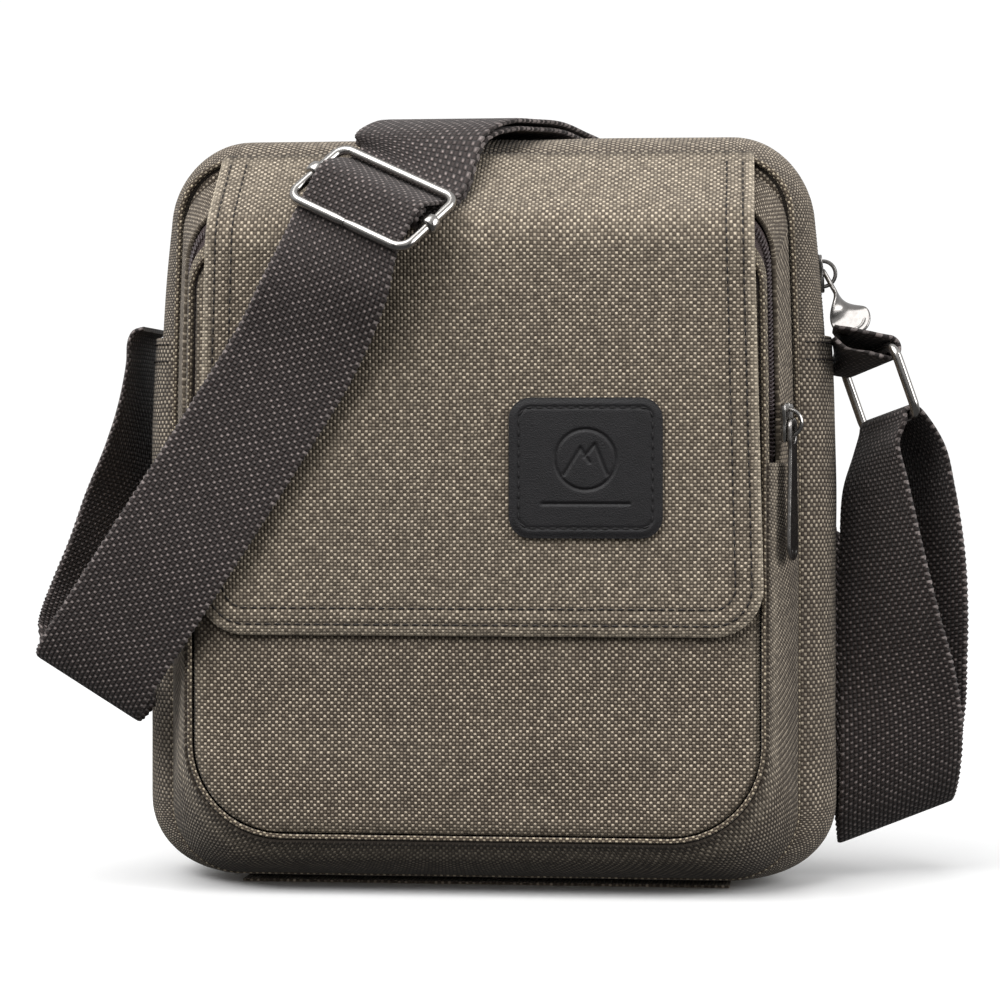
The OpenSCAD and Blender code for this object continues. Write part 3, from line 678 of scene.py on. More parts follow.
# rolled seams: a thin cord of folded canvas along each seam
def seam(name, o, y, radius, lift):
    half = lowHalf(o, 120) + topHalf(o, 120)[1:]
    loop = mirrored(half)[:-1] + half[:-1]
    points = [(p[0] + p[2] * lift, y, p[1] + p[3] * lift) for p in loop]
    points = points[::2] + [points[0]]
    # the cord takes the brighter canvas copy: painted light on the rolled seam
    return settle(tube(points, radius, 8), name, "root", [], canvasLit)


seam("mainSeamFront", mainLine, bag["frontY"] + 0.2, 1.0, 0.7)
seam("mainSeamBack", mainLine, bag["frontY"] + bag["depth"] - 0.2, 1.0, 0.7)
seam("pocketSeam", pocketLine, pocket["y"] + 0.6, 0.8, 0.2)

# flap
flap = dict(hinge=(-26, 223.8), bend=14, bendMiddle=(-36.4, 195.459), innerY=-50.4,
            low=79, radius=15, wideTo=244, topHalf=81.5, lowHalf=85.5, rows=(3.4, 8.3), shift=1.3, standOff=2.8)
flapFall = (flap["hinge"][0] - flap["bendMiddle"][0], flap["hinge"][1] - flap["bendMiddle"][1])
flap["slope"] = math.atan2(flapFall[1], flapFall[0]) - math.asin(flap["bend"] / math.hypot(*flapFall))
flapSlope = math.sqrt(flapFall[0] ** 2 + flapFall[1] ** 2 - flap["bend"] ** 2)
flapBend = flap["bend"] * (math.radians(90) - flap["slope"])
flapLong = flapSlope + flapBend + flap["bendMiddle"][1] - flap["low"]


def flapProfile(s, off):
    # y and z at distance s from the hinge, set off outwards
    a = flap["slope"]
    if s < flapSlope:
        return (flap["hinge"][0] - s * math.cos(a) - off * math.sin(a),
                flap["hinge"][1] - s * math.sin(a) + off * math.cos(a))
    if s < flapSlope + flapBend:
        g = math.pi / 2 + a + (s - flapSlope) / flap["bend"]
        return (flap["bendMiddle"][0] + (flap["bend"] + off) * math.cos(g),
                flap["bendMiddle"][1] + (flap["bend"] + off) * math.sin(g))
    return flap["innerY"] - off, flap["bendMiddle"][1] - (s - flapSlope - flapBend)


def flapSide(z):
    # half width at height z, its corners left out
    knee = flap["low"] + flap["radius"]
    return lerp(flap["lowHalf"], flap["topHalf"], (z - knee) / (flap["wideTo"] - knee))


def flapHalf(z):
    low, r = flap["low"], flap["radius"]
    if z > low + r:
        return flapSide(z)
    return flap["lowHalf"] - r + math.sqrt(max(0, r * r - (low + r - z) ** 2))


def flapRow(v, long):
    # rows run close together round the lower corners
    knee = long - flap["radius"]
    if v < 0.8:
        return knee * v / 0.8
    return knee + flap["radius"] * math.sin((v - 0.8) / 0.2 * math.pi / 2)


def flapEdge(x, s):
    # distance to the flap's free edge, round its corners
    r = flap["radius"]
    side = flapSide(flapProfile(s, 0)[1]) - abs(x)
    down = flapLong - s
    if side < r and down < r:
        return r - math.hypot(r - side, r - down)
    return min(side, down)


def flapFace(x, s):
    # how far the outer layer stands off its inner line
    d = flapEdge(x, s)
    hem = sum(math.exp(-((d - row) / 0.8) ** 2) for row in flap["rows"])
    ease = smooth(0, 20, s)
    body = wobble(x, 3, s, 42, 1.0) + wobble(x, 9, s, 17, 0.25)
    rise = 0.35 * smooth(1, 3, d) * (1 - smooth(8, 11, d)) - 0.42 * hem + 0.35 * body * smooth(6, 20, d)
    return flap["standOff"] + ease * rise - 0.9 * math.exp(-d / 0.7)


def flapSpot(x, s, lift=0.0):
    y, z = flapProfile(s, flapFace(x, s) + lift)
    return x + flap["shift"], y, z


def flapPlace(u, v):
    s = flapRow(v, flapLong)
    half = flapHalf(flapProfile(s, 0)[1])
    return (2 * u - 1) * half, s


def flapWearAndLight(u, v):
    x, s = flapPlace(u, v)
    # rubbed edges are lighter as wear; the term over the first 60 mm from the hinge is painted light on the flap's
    # upper part
    return min(1, 0.85 * math.exp(-flapEdge(x, s) / 1.3) + 0.12 + 0.16 * (1 - smooth(0, 60, s)))


def flapShade(u, v):
    x, s = flapPlace(u, v)
    rows = sum(math.exp(-((flapEdge(x, s) - row) / 0.5) ** 2) for row in flap["rows"])
    return 0.7 * math.exp(-s / 1.2) + 0.4 * rows


onFlap = dict(body="flap", middle=(0, 10, 130))   # both layers ride on the flap and face away from the bag
clothSheet("flapOuter", 150, 150, lambda u, v: flapSpot(*flapPlace(u, v)), bag["canvas"], ["flap_outer"],
           canvas, marks={"wear": flapWearAndLight, "shade": flapShade}, edge=0.6, segments=3,
           uvAt=lambda u, v: tuple(c / 1000 for c in flapPlace(u, v)), **onFlap)


def flapUnder(u, v):
    s = flapRow(v, flapLong - 1)
    half = flapHalf(max(flapProfile(s, 0)[1], flap["low"] + 1)) - 1
    x = (2 * u - 1) * half
    y, z = flapProfile(s, 1.0)
    return x + flap["shift"], y, z


clothSheet("flapLining", 60, 90, flapUnder, 1.0, ["flap_lining"], canvasShade, edge=0.3, **onFlap)
print("flap made")


# stitches
def stitchMesh(length, radius):
    deselect()
    bpy.ops.mesh.primitive_uv_sphere_add(segments=6, ring_count=4, radius=1)
    one = bpy.context.object
    for v in one.data.vertices:
        v.co = Vector((v.co.x * radius, v.co.y * radius, v.co.z * length / 2)) / 1000
    return one


def copies(one, routes, pitch, start, put):
    # one small piece is copied every pitch along routes of (point, directions); put gives each copy's axes
    made = bmesh.new()
    for route in routes:
        walked, due = 0.0, start
        for here, there in zip(route, route[1:]):
            p, q = Vector(here[0]), Vector(there[0])
            gone = (q - p).length
            while gone > 1e-6 and walked + gone >= due:
                at = p.lerp(q, (due - walked) / gone)
                for centre, x, y, z in put(at, (q - p).normalized(), *here[1:]):
                    known = len(made.verts)
                    made.from_mesh(one.data)
                    made.verts.ensure_lookup_table()
                    for v in made.verts[known:]:
                        c = v.co.copy()
                        v.co = centre / 1000 + x * c.x + y * c.y + z * c.z
                due += pitch
            walked += gone
    made.to_mesh(one.data)
    made.free()
    for p in one.data.polygons:
        p.use_smooth = True
    return one


def stitches(name, routes, body, material, pitch=3.0, length=2.3, radius=0.33):
    def put(at, t, n):
        side = t.cross(Vector(n).normalized()).normalized()
        return [(at, side, side.cross(t).normalized(), t)]
    made = copies(stitchMesh(length, radius), routes, pitch, pitch / 2, put)
    return settle(made, name, body, [], material)


def flapRoute(d, steps=90):
    # down the left side, round the corners and up the right side, d from the edge
    r = flap["radius"] - d
    points = []
    knee = flapLong - flap["radius"]
    side = []
    for k in range(steps + 1):
        s = 4 + (knee - 4) * k / steps
        z = flapProfile(s, 0)[1]
        side.append((flapHalf(max(z, flap["low"] + flap["radius"])) - d, s))
    x0 = flap["lowHalf"] - flap["radius"]
    arcs = [(x0 + r * math.cos(a), knee + r * math.sin(a)) for a in (math.pi * k / 24 for k in range(1, 13))]
    right = side + arcs
    left = [(-x, s) for x, s in right]
    flat = [(lerp(-x0, x0, k / 60), flapLong - d) for k in range(1, 60)]
    loop = left + flat + right[::-1]
    made = []
    for x, s in loop:
        a, b = Vector(flapSpot(x, s, 0.0)), Vector(flapSpot(x, s, 1.0))
        made.append((flapSpot(x, s, 0.12), b - a))
    return made


stitches("flapStitches", [flapRoute(row) for row in flap["rows"]], "flap", darkThread)


def sideRows(zs, off):
    # rows of stitches across the gusset at heights zs, on both sides
    made = []
    for sign in (-1, 1):
        for z in zs:
            p = sidePoint(mainLine, z)
            p = (sign * p[0], p[1], sign * p[2], p[3])
            made.append([(gusset(p, lerp(0.03, 0.97, k / 40), off), (p[2], 0, p[3])) for k in range(41)])
    return made


stitches("sideStitches", sideRows((bag["seamZ"] - 2.2, bag["seamZ"] - 7.5), bag["canvas"] + 0.15), "root",
         darkThread)
print("stitches made")

# leather patch
patch = dict(w=46, h=42, x=34, z=129.5, radius=6.5, thick=1.4, face=-54.7, row=3.0)


def patchRow(v):
    r, h = patch["radius"], patch["h"]
    if v < 0.15:
        a = v / 0.15 * math.pi / 2
        return -h / 2 + r * (1 - math.cos(a)), patch["w"] / 2 - r * (1 - math.sin(a))
    if v > 0.85:
        a = (1 - v) / 0.15 * math.pi / 2
        return h / 2 - r * (1 - math.cos(a)), patch["w"] / 2 - r * (1 - math.sin(a))
    return lerp(-h / 2 + r, h / 2 - r, (v - 0.15) / 0.7), patch["w"] / 2


def patchEdge(x, z):
    side, up, r = patch["w"] / 2 - abs(x), patch["h"] / 2 - abs(z), patch["radius"]
    if side < r and up < r:
        return r - math.hypot(r - side, r - up)
    return min(side, up)


def groove(d, wide, deep):
    return -deep * math.exp(-(d / wide) ** 2)


def emblem(x, z):
    # a plain mountain in a ring over a ruled line, pressed into the leather
    z -= 2.5
    ring = groove(abs(math.hypot(x, z) - 9), 0.45, 0.5)
    peak = 0
    for ax, az, bx, bz in ((-6.5, -4.5, -1.5, 3.5), (-1.5, 3.5, 1.2, -0.8), (-0.4, 0.8, 2.8, 4.6),
                           (2.8, 4.6, 6.5, -4.5)):
        t = min(max(((x - ax) * (bx - ax) + (z - az) * (bz - az)) / ((bx - ax) ** 2 + (bz - az) ** 2), 0), 1)
        peak = min(peak, groove(math.hypot(x - lerp(ax, bx, t), z - lerp(az, bz, t)), 0.45, 0.5))
    bar = groove(math.hypot(max(abs(x) - 13, 0), z + 13.2), 0.45, 0.45)
    return min(ring, peak, bar)


def patchPlace(u, v):
    z, half = patchRow(v)
    return (2 * u - 1) * half, z


def patchSpot(x, z):
    d = patchEdge(x, z)
    row = 0.25 * math.exp(-((d - patch["row"]) / 0.5) ** 2)
    crown = 0.35 * smooth(0, 2.2, d) - row + 0.1 * smooth(4, 12, d)
    return patch["x"] + x, patch["face"] + 0.35 - crown - emblem(x, z), patch["z"] + z


clothSheet("leatherPatch", 150, 150, lambda u, v: patchSpot(*patchPlace(u, v)), patch["thick"],
           ["leather_patch"], leather, "leather", edge=0.3, body="flap", middle=(patch["x"], 0, patch["z"]))


def patchRoute():
    w, h, r = patch["w"] / 2 - patch["row"], patch["h"] / 2 - patch["row"], patch["radius"] - patch["row"]
    points = []
    for cx, cz, a in ((w - r, h - r, 0), (-w + r, h - r, 90), (-w + r, -h + r, 180), (w - r, -h + r, 270)):
        for k in range(7):
            g = math.radians(a + 15 * k)
            points.append((cx + r * math.cos(g), cz + r * math.sin(g)))
    points.append(points[0])
    made = []
    for (ax, az), (bx, bz) in zip(points, points[1:]):
        n = max(1, int(math.hypot(bx - ax, bz - az)))
        for k in range(n):
            x, z = lerp(ax, bx, k / n), lerp(az, bz, k / n)
            spot = patchSpot(x, z)
            made.append(((spot[0], spot[1] - 0.08, spot[2]), (0, -1, 0)))
    return made + [made[0]]


stitches("patchStitches", [patchRoute()], "flap", blackThread, 3.1, 2.2, 0.3)
print("patch made")

# shoulder strap
strap = dict(width=38, thick=1.45, step=1.0, freeFrom=6, sliderAt=(-30, -54, 210.5), sliderTilt=46.818,
             ringAt=(118.2, -1, 164), tabTurn=3.3)
flatW, backW, lowAcross = (-0.85, 0, 0.53), (-0.87, 0, -0.5), (-0.93, 0, -0.37)


def turn(p, axis, degrees):
    a = math.radians(degrees)
    c, s = math.cos(a), math.sin(a)
    x, y, z = p
    if axis == "x":
        return Vector((x, y * c - z * s, y * s + z * c))
    if axis == "y":
        return Vector((x * c + z * s, y, -x * s + z * c))
    return Vector((x * c - y * s, x * s + y * c, z))


def sliderDir(p):
    return turn(turn(p, "z", -33), "x", strap["sliderTilt"])


def onSlider(p):
    return Vector(strap["sliderAt"]) + sliderDir(p)


def ringDir(p):
    return turn(turn(turn(p, "y", -18), "x", -7), "z", 20)


def onRing(p):
    return Vector(strap["ringAt"]) + ringDir(p)


sliderW, ringW = sliderDir((-1, 0, 0)), ringDir((0, 1, 0))
ringDrop = 22


def spots(*rows):
    return [(Vector(r[:3]), Vector(r[3])) for r in rows]


sideRun = spots(
    (-108, 0, 173, (0, -1, 0)), (-111, 0, 172, (0, -1, 0)),
    (-112.5, 0, 169, (0, -1, 0)), (-113, 0, 162, (0, -1, 0)),
    (-113.5, 0, 148, (-0.12, -1, 0.05)),
    (-115, -2, 134, (-0.25, -0.97, 0.1)), (-117.5, -6, 118, (-0.4, -0.9, 0.2)),
    (-120, -12, 102, (-0.5, -0.85, 0.25)),
    (-122, -18, 88, (-0.62, -0.7, 0.35)), (-121.5, -26, 77, (-0.75, -0.4, 0.45)),
    (-119.5, -33, 69, flatW), (-119.5, -37, 64, flatW), (-120, -41, 62, flatW))
frontRun = spots(
    (-120, -41, 62, flatW), (-119, -46, 64, flatW),
    (-115, -50, 70, flatW), (-105, -54, 84, flatW), (-92, -57, 103, flatW),
    (-79.5, -57.5, 122, flatW), (-66, -57.5, 143, flatW), (-54, -58, 162, flatW), (-46.5, -60, 176, flatW),
    (-40.5, -61.5, 189, (-0.85, 0.2, 0.46))) + [
    (onSlider((0, y, z)), sliderW) for y, z in ((-12.5, -2.6), (-7, 1.2), (0, 4.8), (7, 1.2), (12.5, -2.6))]
overRun = [(onSlider((0, 19, -4)), sliderW)] + [(Vector(p), Vector((-1, 0, 0))) for p in (
    (-18, -34.2, 229.8), (-12, -24.2, 234.8), (-5.8, -13, 236),
    (1.5, 0, 236.5), (8, 13, 234.8), (14, 24.8, 232.4),
    (18.5, 31.8, 227.8), (23.5, 36.2, 220), (29, 37, 210))] + [(Vector(p), Vector(backW)) for p in (
        (41, 37, 190), (63.5, 37, 150), (86.5, 37, 110), (107.5, 37, 74), (118.7, 35.6, 51.5))]


def layer(run, off):
    made = []
    for i, (p, w) in enumerate(run):
        t = run[min(i + 1, len(run) - 1)][0] - run[max(i - 1, 0)][0]
        made.append((p + t.cross(w).normalized() * off, w))
    return made


outerRun = [(onSlider((0, 12.5, -2.6)), sliderW)] + layer(overRun, 1.25) + spots(
    (124.5, 33, 36, lowAcross), (126.5, 27, 24, lowAcross), (127, 20, 18, lowAcross))
ringFrontRun = spots(
    (127, 20, 18, lowAcross), (127.5, 12, 18, lowAcross),
    (128, 4.5, 24, lowAcross), (128.6, -1, 35, (-0.93, 0.03, -0.37)),
    (128.5, -4, 49, (-0.95, 0.12, -0.28)),
    (127.2, -5, 64, (-0.9, 0.35, -0.2)), (124.6, -5, 82, (-0.8, 0.58, -0.15)),
    (122.4, -4, 102, (-0.66, 0.74, -0.12)), (120.4, -2, 124, (-0.5, 0.86, -0.12)), (120.8, -1, 135, ringW)) + [
    (onRing((x, 0, z - ringDrop)), ringW) for x, z in ((-2.8, 0), (-2, 2), (0, 2.8))]
ringRearRun = [(onRing((x, 0, z - ringDrop)), ringW) for x, z in ((0, 2.8), (2, 2), (2.8, 0))] + spots(
    (132.5, 5, 134, (-0.45, 0.88, -0.12)),
    (134.5, 7.5, 122, (-0.52, 0.84, -0.1)), (134.5, 8.5, 102, (-0.7, 0.7, -0.1)),
    (133.4, 8, 82, (-0.8, 0.55, -0.15)), (131, 6, 64, (-0.9, 0.35, -0.2)), (129.4, 5, 49, (-0.93, 0.15, -0.32)),
    (128.3, 6.2, 36.5, lowAcross), (127.8, 9, 27, lowAcross),
    (127.5, 13.5, 22, lowAcross), (127.2, 19, 20.6, lowAcross))
returnRun = [(onSlider((0, y, z)), sliderW) for y, z in (
    (2.5, 2.1), (0, 2.5), (-2, 1.7), (-2.7, 0), (-2, -1.7), (0, -2.7), (5, -3.8), (12.5, -4.8))] + \
    layer(overRun, -1.25) + spots((123.6, 30.2, 37, lowAcross),
    (126.3, 25, 25.5, lowAcross), (127.2, 19, 20.6, lowAcross))
tabRun = spots(
    (107.6, 0, 172.8, (0, 1, 0)), (110.5, 0, 171, (-0.08, 1, -0.06)),
    (114.5, -0.5, 168.4, (-0.22, 0.95, -0.12))) + [
    (onRing((strap["tabTurn"] * math.cos(a), 0, strap["tabTurn"] * math.sin(a))), ringW)
    for a in map(math.radians, range(80, -131, -30))] + spots(
    (112.5, -2, 162.3, (-0.3, 0.94, -0.12)), (109.8, -0.5, 166, (-0.08, 1, 0)), (107.6, 0, 169.4, (0, 1, 0)))


def splined(a, b, c, d, t):
    # centripetal spline through b and c
    def knot(p, q):
        return max((q - p).length, 1e-6) ** 0.5
    t0 = 0
    t1 = knot(a, b)
    t2 = t1 + knot(b, c)
    t3 = t2 + knot(c, d)
    x = lerp(t1, t2, t)
    p = a * ((t1 - x) / (t1 - t0)) + b * ((x - t0) / (t1 - t0))
    q = b * ((t2 - x) / (t2 - t1)) + c * ((x - t1) / (t2 - t1))
    r = c * ((t3 - x) / (t3 - t2)) + d * ((x - t2) / (t3 - t2))
    s = p * ((t2 - x) / (t2 - t0)) + q * ((x - t0) / (t2 - t0))
    w = q * ((t3 - x) / (t3 - t1)) + r * ((x - t1) / (t3 - t1))
    return s * ((t2 - x) / (t2 - t1)) + w * ((x - t1) / (t2 - t1))


def webStations(run, before=None, after=None):
    # the strap's middle line, direction across and thickness direction, every millimetre
    points = [p for p, _ in run]
    first = before if before is not None else points[0] * 2 - points[1]
    last = after if after is not None else points[-1] * 2 - points[-2]
    full = [first] + points + [last]
    halves = []
    for i, (p, w) in enumerate(run):
        t = (full[i + 2] - full[i]).normalized()
        w = w.normalized()
        halves.append(w / t.cross(w).length)
    fullW = [halves[0]] + halves + [halves[-1]]
    made = []
    for i in range(len(points) - 1):
        n = max(2, round((points[i + 1] - points[i]).length / strap["step"]))
        for k in range(n):
            t = k / n
            p = splined(full[i], full[i + 1], full[i + 2], full[i + 3], t)
            edge = splined(*[full[j] + fullW[j] * 20 for j in range(i, i + 4)], t)
            made.append([p, (edge - p) / 20])
    made.append([points[-1], halves[-1]])
    out = []
    for i, (p, w) in enumerate(made):
        t = made[min(i + 1, len(made) - 1)][0] - made[max(i - 1, 0)][0]
        if i == 0 and before is not None:
            t = made[1][0] - first
        if i == len(made) - 1 and after is not None:
            t = last - made[-2][0]
        out.append((p, w, t.cross(w).normalized()))
    return out


webProfile = []
for side in (1, -1):
    for k in range(15):
        x = 1 - 2 * k / 14
        x = math.sin(x * math.pi / 2)
        half = strap["thick"] / 2 * (0.35 + 0.65 * min(1, (1 - abs(x)) / 0.035) ** 0.5)
        webProfile.append((side * x * strap["width"] / 2, side * half, side * x * 19 + 19,
                           0.5 if side * x > 0.99 else (-0.5 if side * x < -0.99 else 0)))


def webPiece(run, before=None, after=None):
    stations = webStations(run, before, after)
    edge = {"wear": lambda i, j: max(0, abs(webProfile[j][0]) / 19 - 0.93) / 0.07}
    return sweep(stations, webProfile, marks=edge), [s[0] / 1000 for s in stations]


def strapRun(name, node, run, before, after, body=None, blend=None):
    piece, path = webPiece(run, before, after)
    settle(piece, name, body, [node], webbing)
    if blend:
        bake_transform(piece)
    long = sum((b - a).length for a, b in zip(path, path[1:]))
    if long >= strap["freeFrom"] * strap["width"] / 1000:   # a shorter stretch is left out; a longer one has its points read, and nothing more is done with them
        tuple(path[0])
        [tuple(p) for p in path]
    print(name, round(long, 3), "m")
    return piece


strapRun("strapSide", "strap_side_run", sideRun, None, frontRun[1][0],
         blend=("root", "flap", (-0.113, 0, 0.165), (-0.113, 0, 0.06)))
strapRun("strapFront", "strap_front_run", frontRun, sideRun[-2][0], outerRun[1][0], body="flap")
strapRun("strapOuter", "strap_outer_run", outerRun, frontRun[-2][0], ringFrontRun[1][0],
         blend=("root", "flap", (0, -0.028, 0.23), (0, -0.05, 0.23)))
strapRun("strapReturn", "strap_return_run", returnRun, None, ringRearRun[-2][0],
         blend=("root", "flap", (0, -0.028, 0.23), (0, -0.05, 0.23)))
strapRun("strapRingFront", "strap_ring_front_leg", ringFrontRun, outerRun[-2][0], ringRearRun[1][0],
         blend=("root", "ring", (0.125, 0, 0.06), (0.125, 0, 0.14)))
strapRun("strapRingRear", "strap_ring_rear_leg", ringRearRun, ringFrontRun[-2][0], returnRun[-2][0],
         blend=("root", "ring", (0.125, 0, 0.06), (0.125, 0, 0.14)))
settle(webPiece(tabRun)[0], "strapTab", "root", ["strap_tab"], webbing)
print("strap made")

# wire slider and ring
wire = dict(radius=1.5, window=41, sliderHeight=23, corner=4)


def wireLoop(w, h, gapAt):
    # middle line of a bent wire rectangle that starts and ends at the middle of its lower bar
    r = wire["corner"]
    points = [(gapAt, -h / 2)] + [(lerp(gapAt, w / 2 - r, k / 6), -h / 2) for k in range(1, 6)]
    for cx, cy, a in ((w / 2 - r, -h / 2 + r, -90), (w / 2 - r, h / 2 - r, 0), (-w / 2 + r, h / 2 - r, 90),
                      (-w / 2 + r, -h / 2 + r, 180)):
        points += [(cx + r * math.cos(math.radians(a + 10 * k)), cy + r * math.sin(math.radians(a + 10 * k)))
                   for k in range(10)]
    return points + [(lerp(-w / 2 + r, -gapAt, k / 6), -h / 2) for k in range(1, 7)]


def finishWire(piece, name, body, nodes, material):
    rounded(piece, 40)
    return settle(piece, name, body, nodes, material)


def longWire(points, radius):
    # the two ends are dressed round
    radii = [radius] * len(points)
    radii[0] = radii[-1] = radius * 0.8
    return tube(points, radius, 20, radii)


loopW = wire["window"] + 2 * wire["radius"]
loopH = wire["sliderHeight"] + 2 * wire["radius"]
finishWire(longWire([onSlider((x, y, 0)) for x, y in wireLoop(loopW, loopH, 0.12)], wire["radius"]),
           "sliderFrame", "strap_slider", ["slider_frame"], nickel)
barParts = [tube([onSlider((x, 0, 0)) for x in (-loopW / 2, -8, 8, loopW / 2)], 1.25, 14)]
for end in (-1, 1):
    # the bar's end is crimped round the wire as a short collar
    ys = (-2.1, -1.9, -1.5, -0.6, 0.6, 1.5, 1.9, 2.1)
    rs = (2.0, 2.5, 2.8, 2.9, 2.9, 2.8, 2.5, 2.0)
    barParts.append(tube([onSlider((end * loopW / 2, y, 0)) for y in ys], 2.3, 18, rs))
finishWire(join(barParts), "sliderBar", "strap_slider", ["slider_bar"], nickel)
ringLine = [onRing((0, x, z - ringDrop / 2)) for x, z in wireLoop(loopW, ringDrop, 0.12)]
finishWire(longWire(ringLine, wire["radius"]), "strapRing", "ring", ["strap_ring"], nickel)
print("wire hardware made")


# zips
def plate(outline, holes, thick, bevel=0.22):
    # a stamped plate in the y-z plane, faces towards x
    curve = bpy.data.curves.new("plate", "CURVE")
    curve.dimensions, curve.fill_mode = "2D", "BOTH"
    curve.extrude, curve.bevel_depth, curve.bevel_resolution = (thick / 2 - bevel), bevel, 2
    for loop in [outline] + holes:
        spline = curve.splines.new("POLY")
        spline.points.add(len(loop) - 1)
        for point, (y, z) in zip(spline.points, loop):
            point.co = (y, z, 0, 1)
        spline.use_cyclic_u = True
    piece = bpy.data.objects.new("plate", curve)
    bpy.context.scene.collection.objects.link(piece)
    deselect()
    piece.select_set(True)
    bpy.context.view_layer.objects.active = piece
    bpy.ops.object.convert(target="MESH")
    piece = bpy.context.object
    for v in piece.data.vertices:
        v.co = Vector((v.co.z, v.co.x, v.co.y))
    edit(piece, lambda: bpy.ops.mesh.remove_doubles(threshold=0.001),
         lambda: bpy.ops.mesh.normals_make_consistent(inside=False))
    return piece


def roundEnd(cy, cz, r, a0, a1, n=10):
    angles = [math.radians(lerp(a0, a1, k / n)) for k in range(n + 1)]
    return [(cy + r * math.cos(a), cz + r * math.sin(a)) for a in angles]


def carryPoints(piece, put):
    for v in piece.data.vertices:
        v.co = Vector(put(v.co)) / 1000


def sliderBody():
    # wedge-shaped slider body with a waist, then its bail
    half = [(3, -5.4), (3.4, -4.8), (3.1, -1.5), (3.3, 1), (4.0, 3.4), (3.9, 4.8), (2.9, 5.5), (0.6, 5.5)]
    outline = [(-3, -5.4)] + half + [(0, 4.2)] + [(-y, z) for y, z in reversed(half[1:])]
    top = plate(outline, [], 1.5, 0.4)
    for v in top.data.vertices:
        v.co.x += 0.85
    rib = tube([(0.2, 0, -4.6), (1.0, 0, -4.2), (1.15, 0, -2), (1.15, 0, 2), (1.0, 0, 3.9)], 0.65, 8)
    bail = [(1.4 + 4.0 * math.sin(a), 0, 4.0 * math.cos(a)) for a in map(math.radians, range(0, 181, 12))]
    hoop = tube(bail, 0.62, 10)
    for piece in (rib, hoop):
        for v in piece.data.vertices:
            v.co *= 1000
    for v in hoop.data.vertices:
        v.co.y *= 1.25
    return join([top, rib, hoop])


def longPull(length, topW, lowW, turned):
    # neck with an eye, then a paddle that widens and turns
    z0, zt = -6.6, -(length - lowW / 2)
    outline = roundEnd(0, zt, lowW / 2, 180, 360, 16)
    neck = topW / 2
    waist = min(neck, lowW / 2) * 0.86
    right = [(lerp(lowW / 2, waist, smooth(0, 1, t)), lerp(zt, z0, t)) for t in (k / 8 for k in range(1, 9))]
    right += [(neck, z0 + 2.4)] + roundEnd(0, 0.2 - neck * 0.35, neck, 0, 180, 10)
    left = [(-y, z) for y, z in reversed(right[:9])]
    eye = roundEnd(0, -2.6, 1.9, 0, 180, 8) + roundEnd(0, -4.4, 1.9, 180, 360, 8)
    eye = [(y, z + 1.0) for y, z in eye]
    piece = plate(outline + right + left, [eye], 1.3, 0.3)
    # a curved lip across the paddle's end
    lips = []
    for x in (-0.62, 0.62):
        lip = [(x, y, z) for y, z in roundEnd(0, zt, lowW / 2 - 1.6, -152, -32, 15)]
        made = tube(lip, 0.28, 8)
        for v in made.data.vertices:
            v.co *= 1000
        lips.append(made)
    piece = join([piece] + lips)
    modify(piece, "REMESH", mode="VOXEL", voxel_size=0.22)
    modify(piece, "SMOOTH", factor=0.5, iterations=5)
    for v in piece.data.vertices:
        a = math.radians(turned) * smooth(-z0, -zt, -v.co.z)
        x, y = v.co.x, v.co.y
        v.co.x, v.co.y = x * math.cos(a) - y * math.sin(a), x * math.sin(a) + y * math.cos(a)
    return piece


slider = dict(mainAt=(102.777, 2.5, 190), mainLean=4.724, pocketZ=143, pocketLift=1.8,
              backX=-54, backY=32.2, backZ=178)


def onMain(p):
    return Vector(slider["mainAt"]) + turn(p, "y", -slider["mainLean"])


pocketA, pocketB = sidePoint(pocketLine, slider["pocketZ"]), sidePoint(wallTop, slider["pocketZ"])
zipMid = pocket["zipAt"]
pocketStep = pocketB[0] - pocketA[0]
pocketTurn = math.degrees(math.atan2(pocket["roll"] * math.sin(zipMid * math.pi / 2) - pocketStep, wallDepth))


def onPocket(p):
    out = pocketStep * zipMid + pocket["roll"] * rollAt(zipMid) + bandOff + slider["pocketLift"]
    base = Vector((pocketA[0] + out, pocket["y"] + wallDepth * zipMid, slider["pocketZ"]))
    return base + turn(Vector(p) + Vector((0.6, 0, 0)), "z", pocketTurn)


def onBack(p):
    return Vector((slider["backX"], slider["backY"], slider["backZ"])) + turn(turn(p, "x", -90), "z", 90)


def hardware(name, piece, put, body, nodes, material):
    carryPoints(piece, put)
    if not facesOutMost(piece):
        edit(piece, bpy.ops.mesh.flip_normals)
    rounded(piece, 38)
    return settle(piece, name, body, nodes, material)


def facesOutMost(piece):
    # a closed shape's signed volume is positive when its faces look out
    made = bmesh.new()
    made.from_mesh(piece.data)
    volume = made.calc_volume(signed=True)
    made.free()
    return volume > 0


hardware("mainZipSlider", sliderBody(), onMain, "main_slider", ["main_zip_slider"], gunmetal)
pullBar = Vector((2.55, 0, -1.0))
hardware("mainZipPull", longPull(23, 6.4, 12, -80),
         lambda p: onMain(pullBar + turn(turn(p, "x", -26), "y", -24)), "main_pull", ["main_zip_pull"],
         gunmetal)
hardware("pocketZipSlider", sliderBody(), onPocket, "front_slider", ["pocket_zip_slider"], nickel)
hardware("pocketZipPull", longPull(40, 6.4, 8, 0), lambda p: onPocket(pullBar + Vector(p)),
         "front_pull", ["pocket_zip_pull"], gunmetal)
hardware("backZipSlider", sliderBody(), onBack, "back_slider", ["back_zip_slider"], nickel)
hardware("backZipPull", longPull(24, 6.4, 9, 0), lambda p: onBack(pullBar + Vector(p)),
         "back_pull", ["back_zip_pull"], gunmetal)


def teeth(name, route, wide, nodes, pitch=1.25):
    # a coil zip: slanted loops across the chain, one modelled and copied
    def put(at, t, n, side):
        n, side = Vector(n).normalized(), Vector(side).normalized()
        made = []
        for half in (-1, 1):
            across = (side + t * 0.18 * half).normalized()
            made.append((at + side * half * wide * 0.42 + n * 0.25, across.cross(n), n * 1.3, across))
        return made
    made = copies(stitchMesh(wide, 0.42), [route], pitch, pitch, put)
    return settle(made, name, "root", nodes, coil)


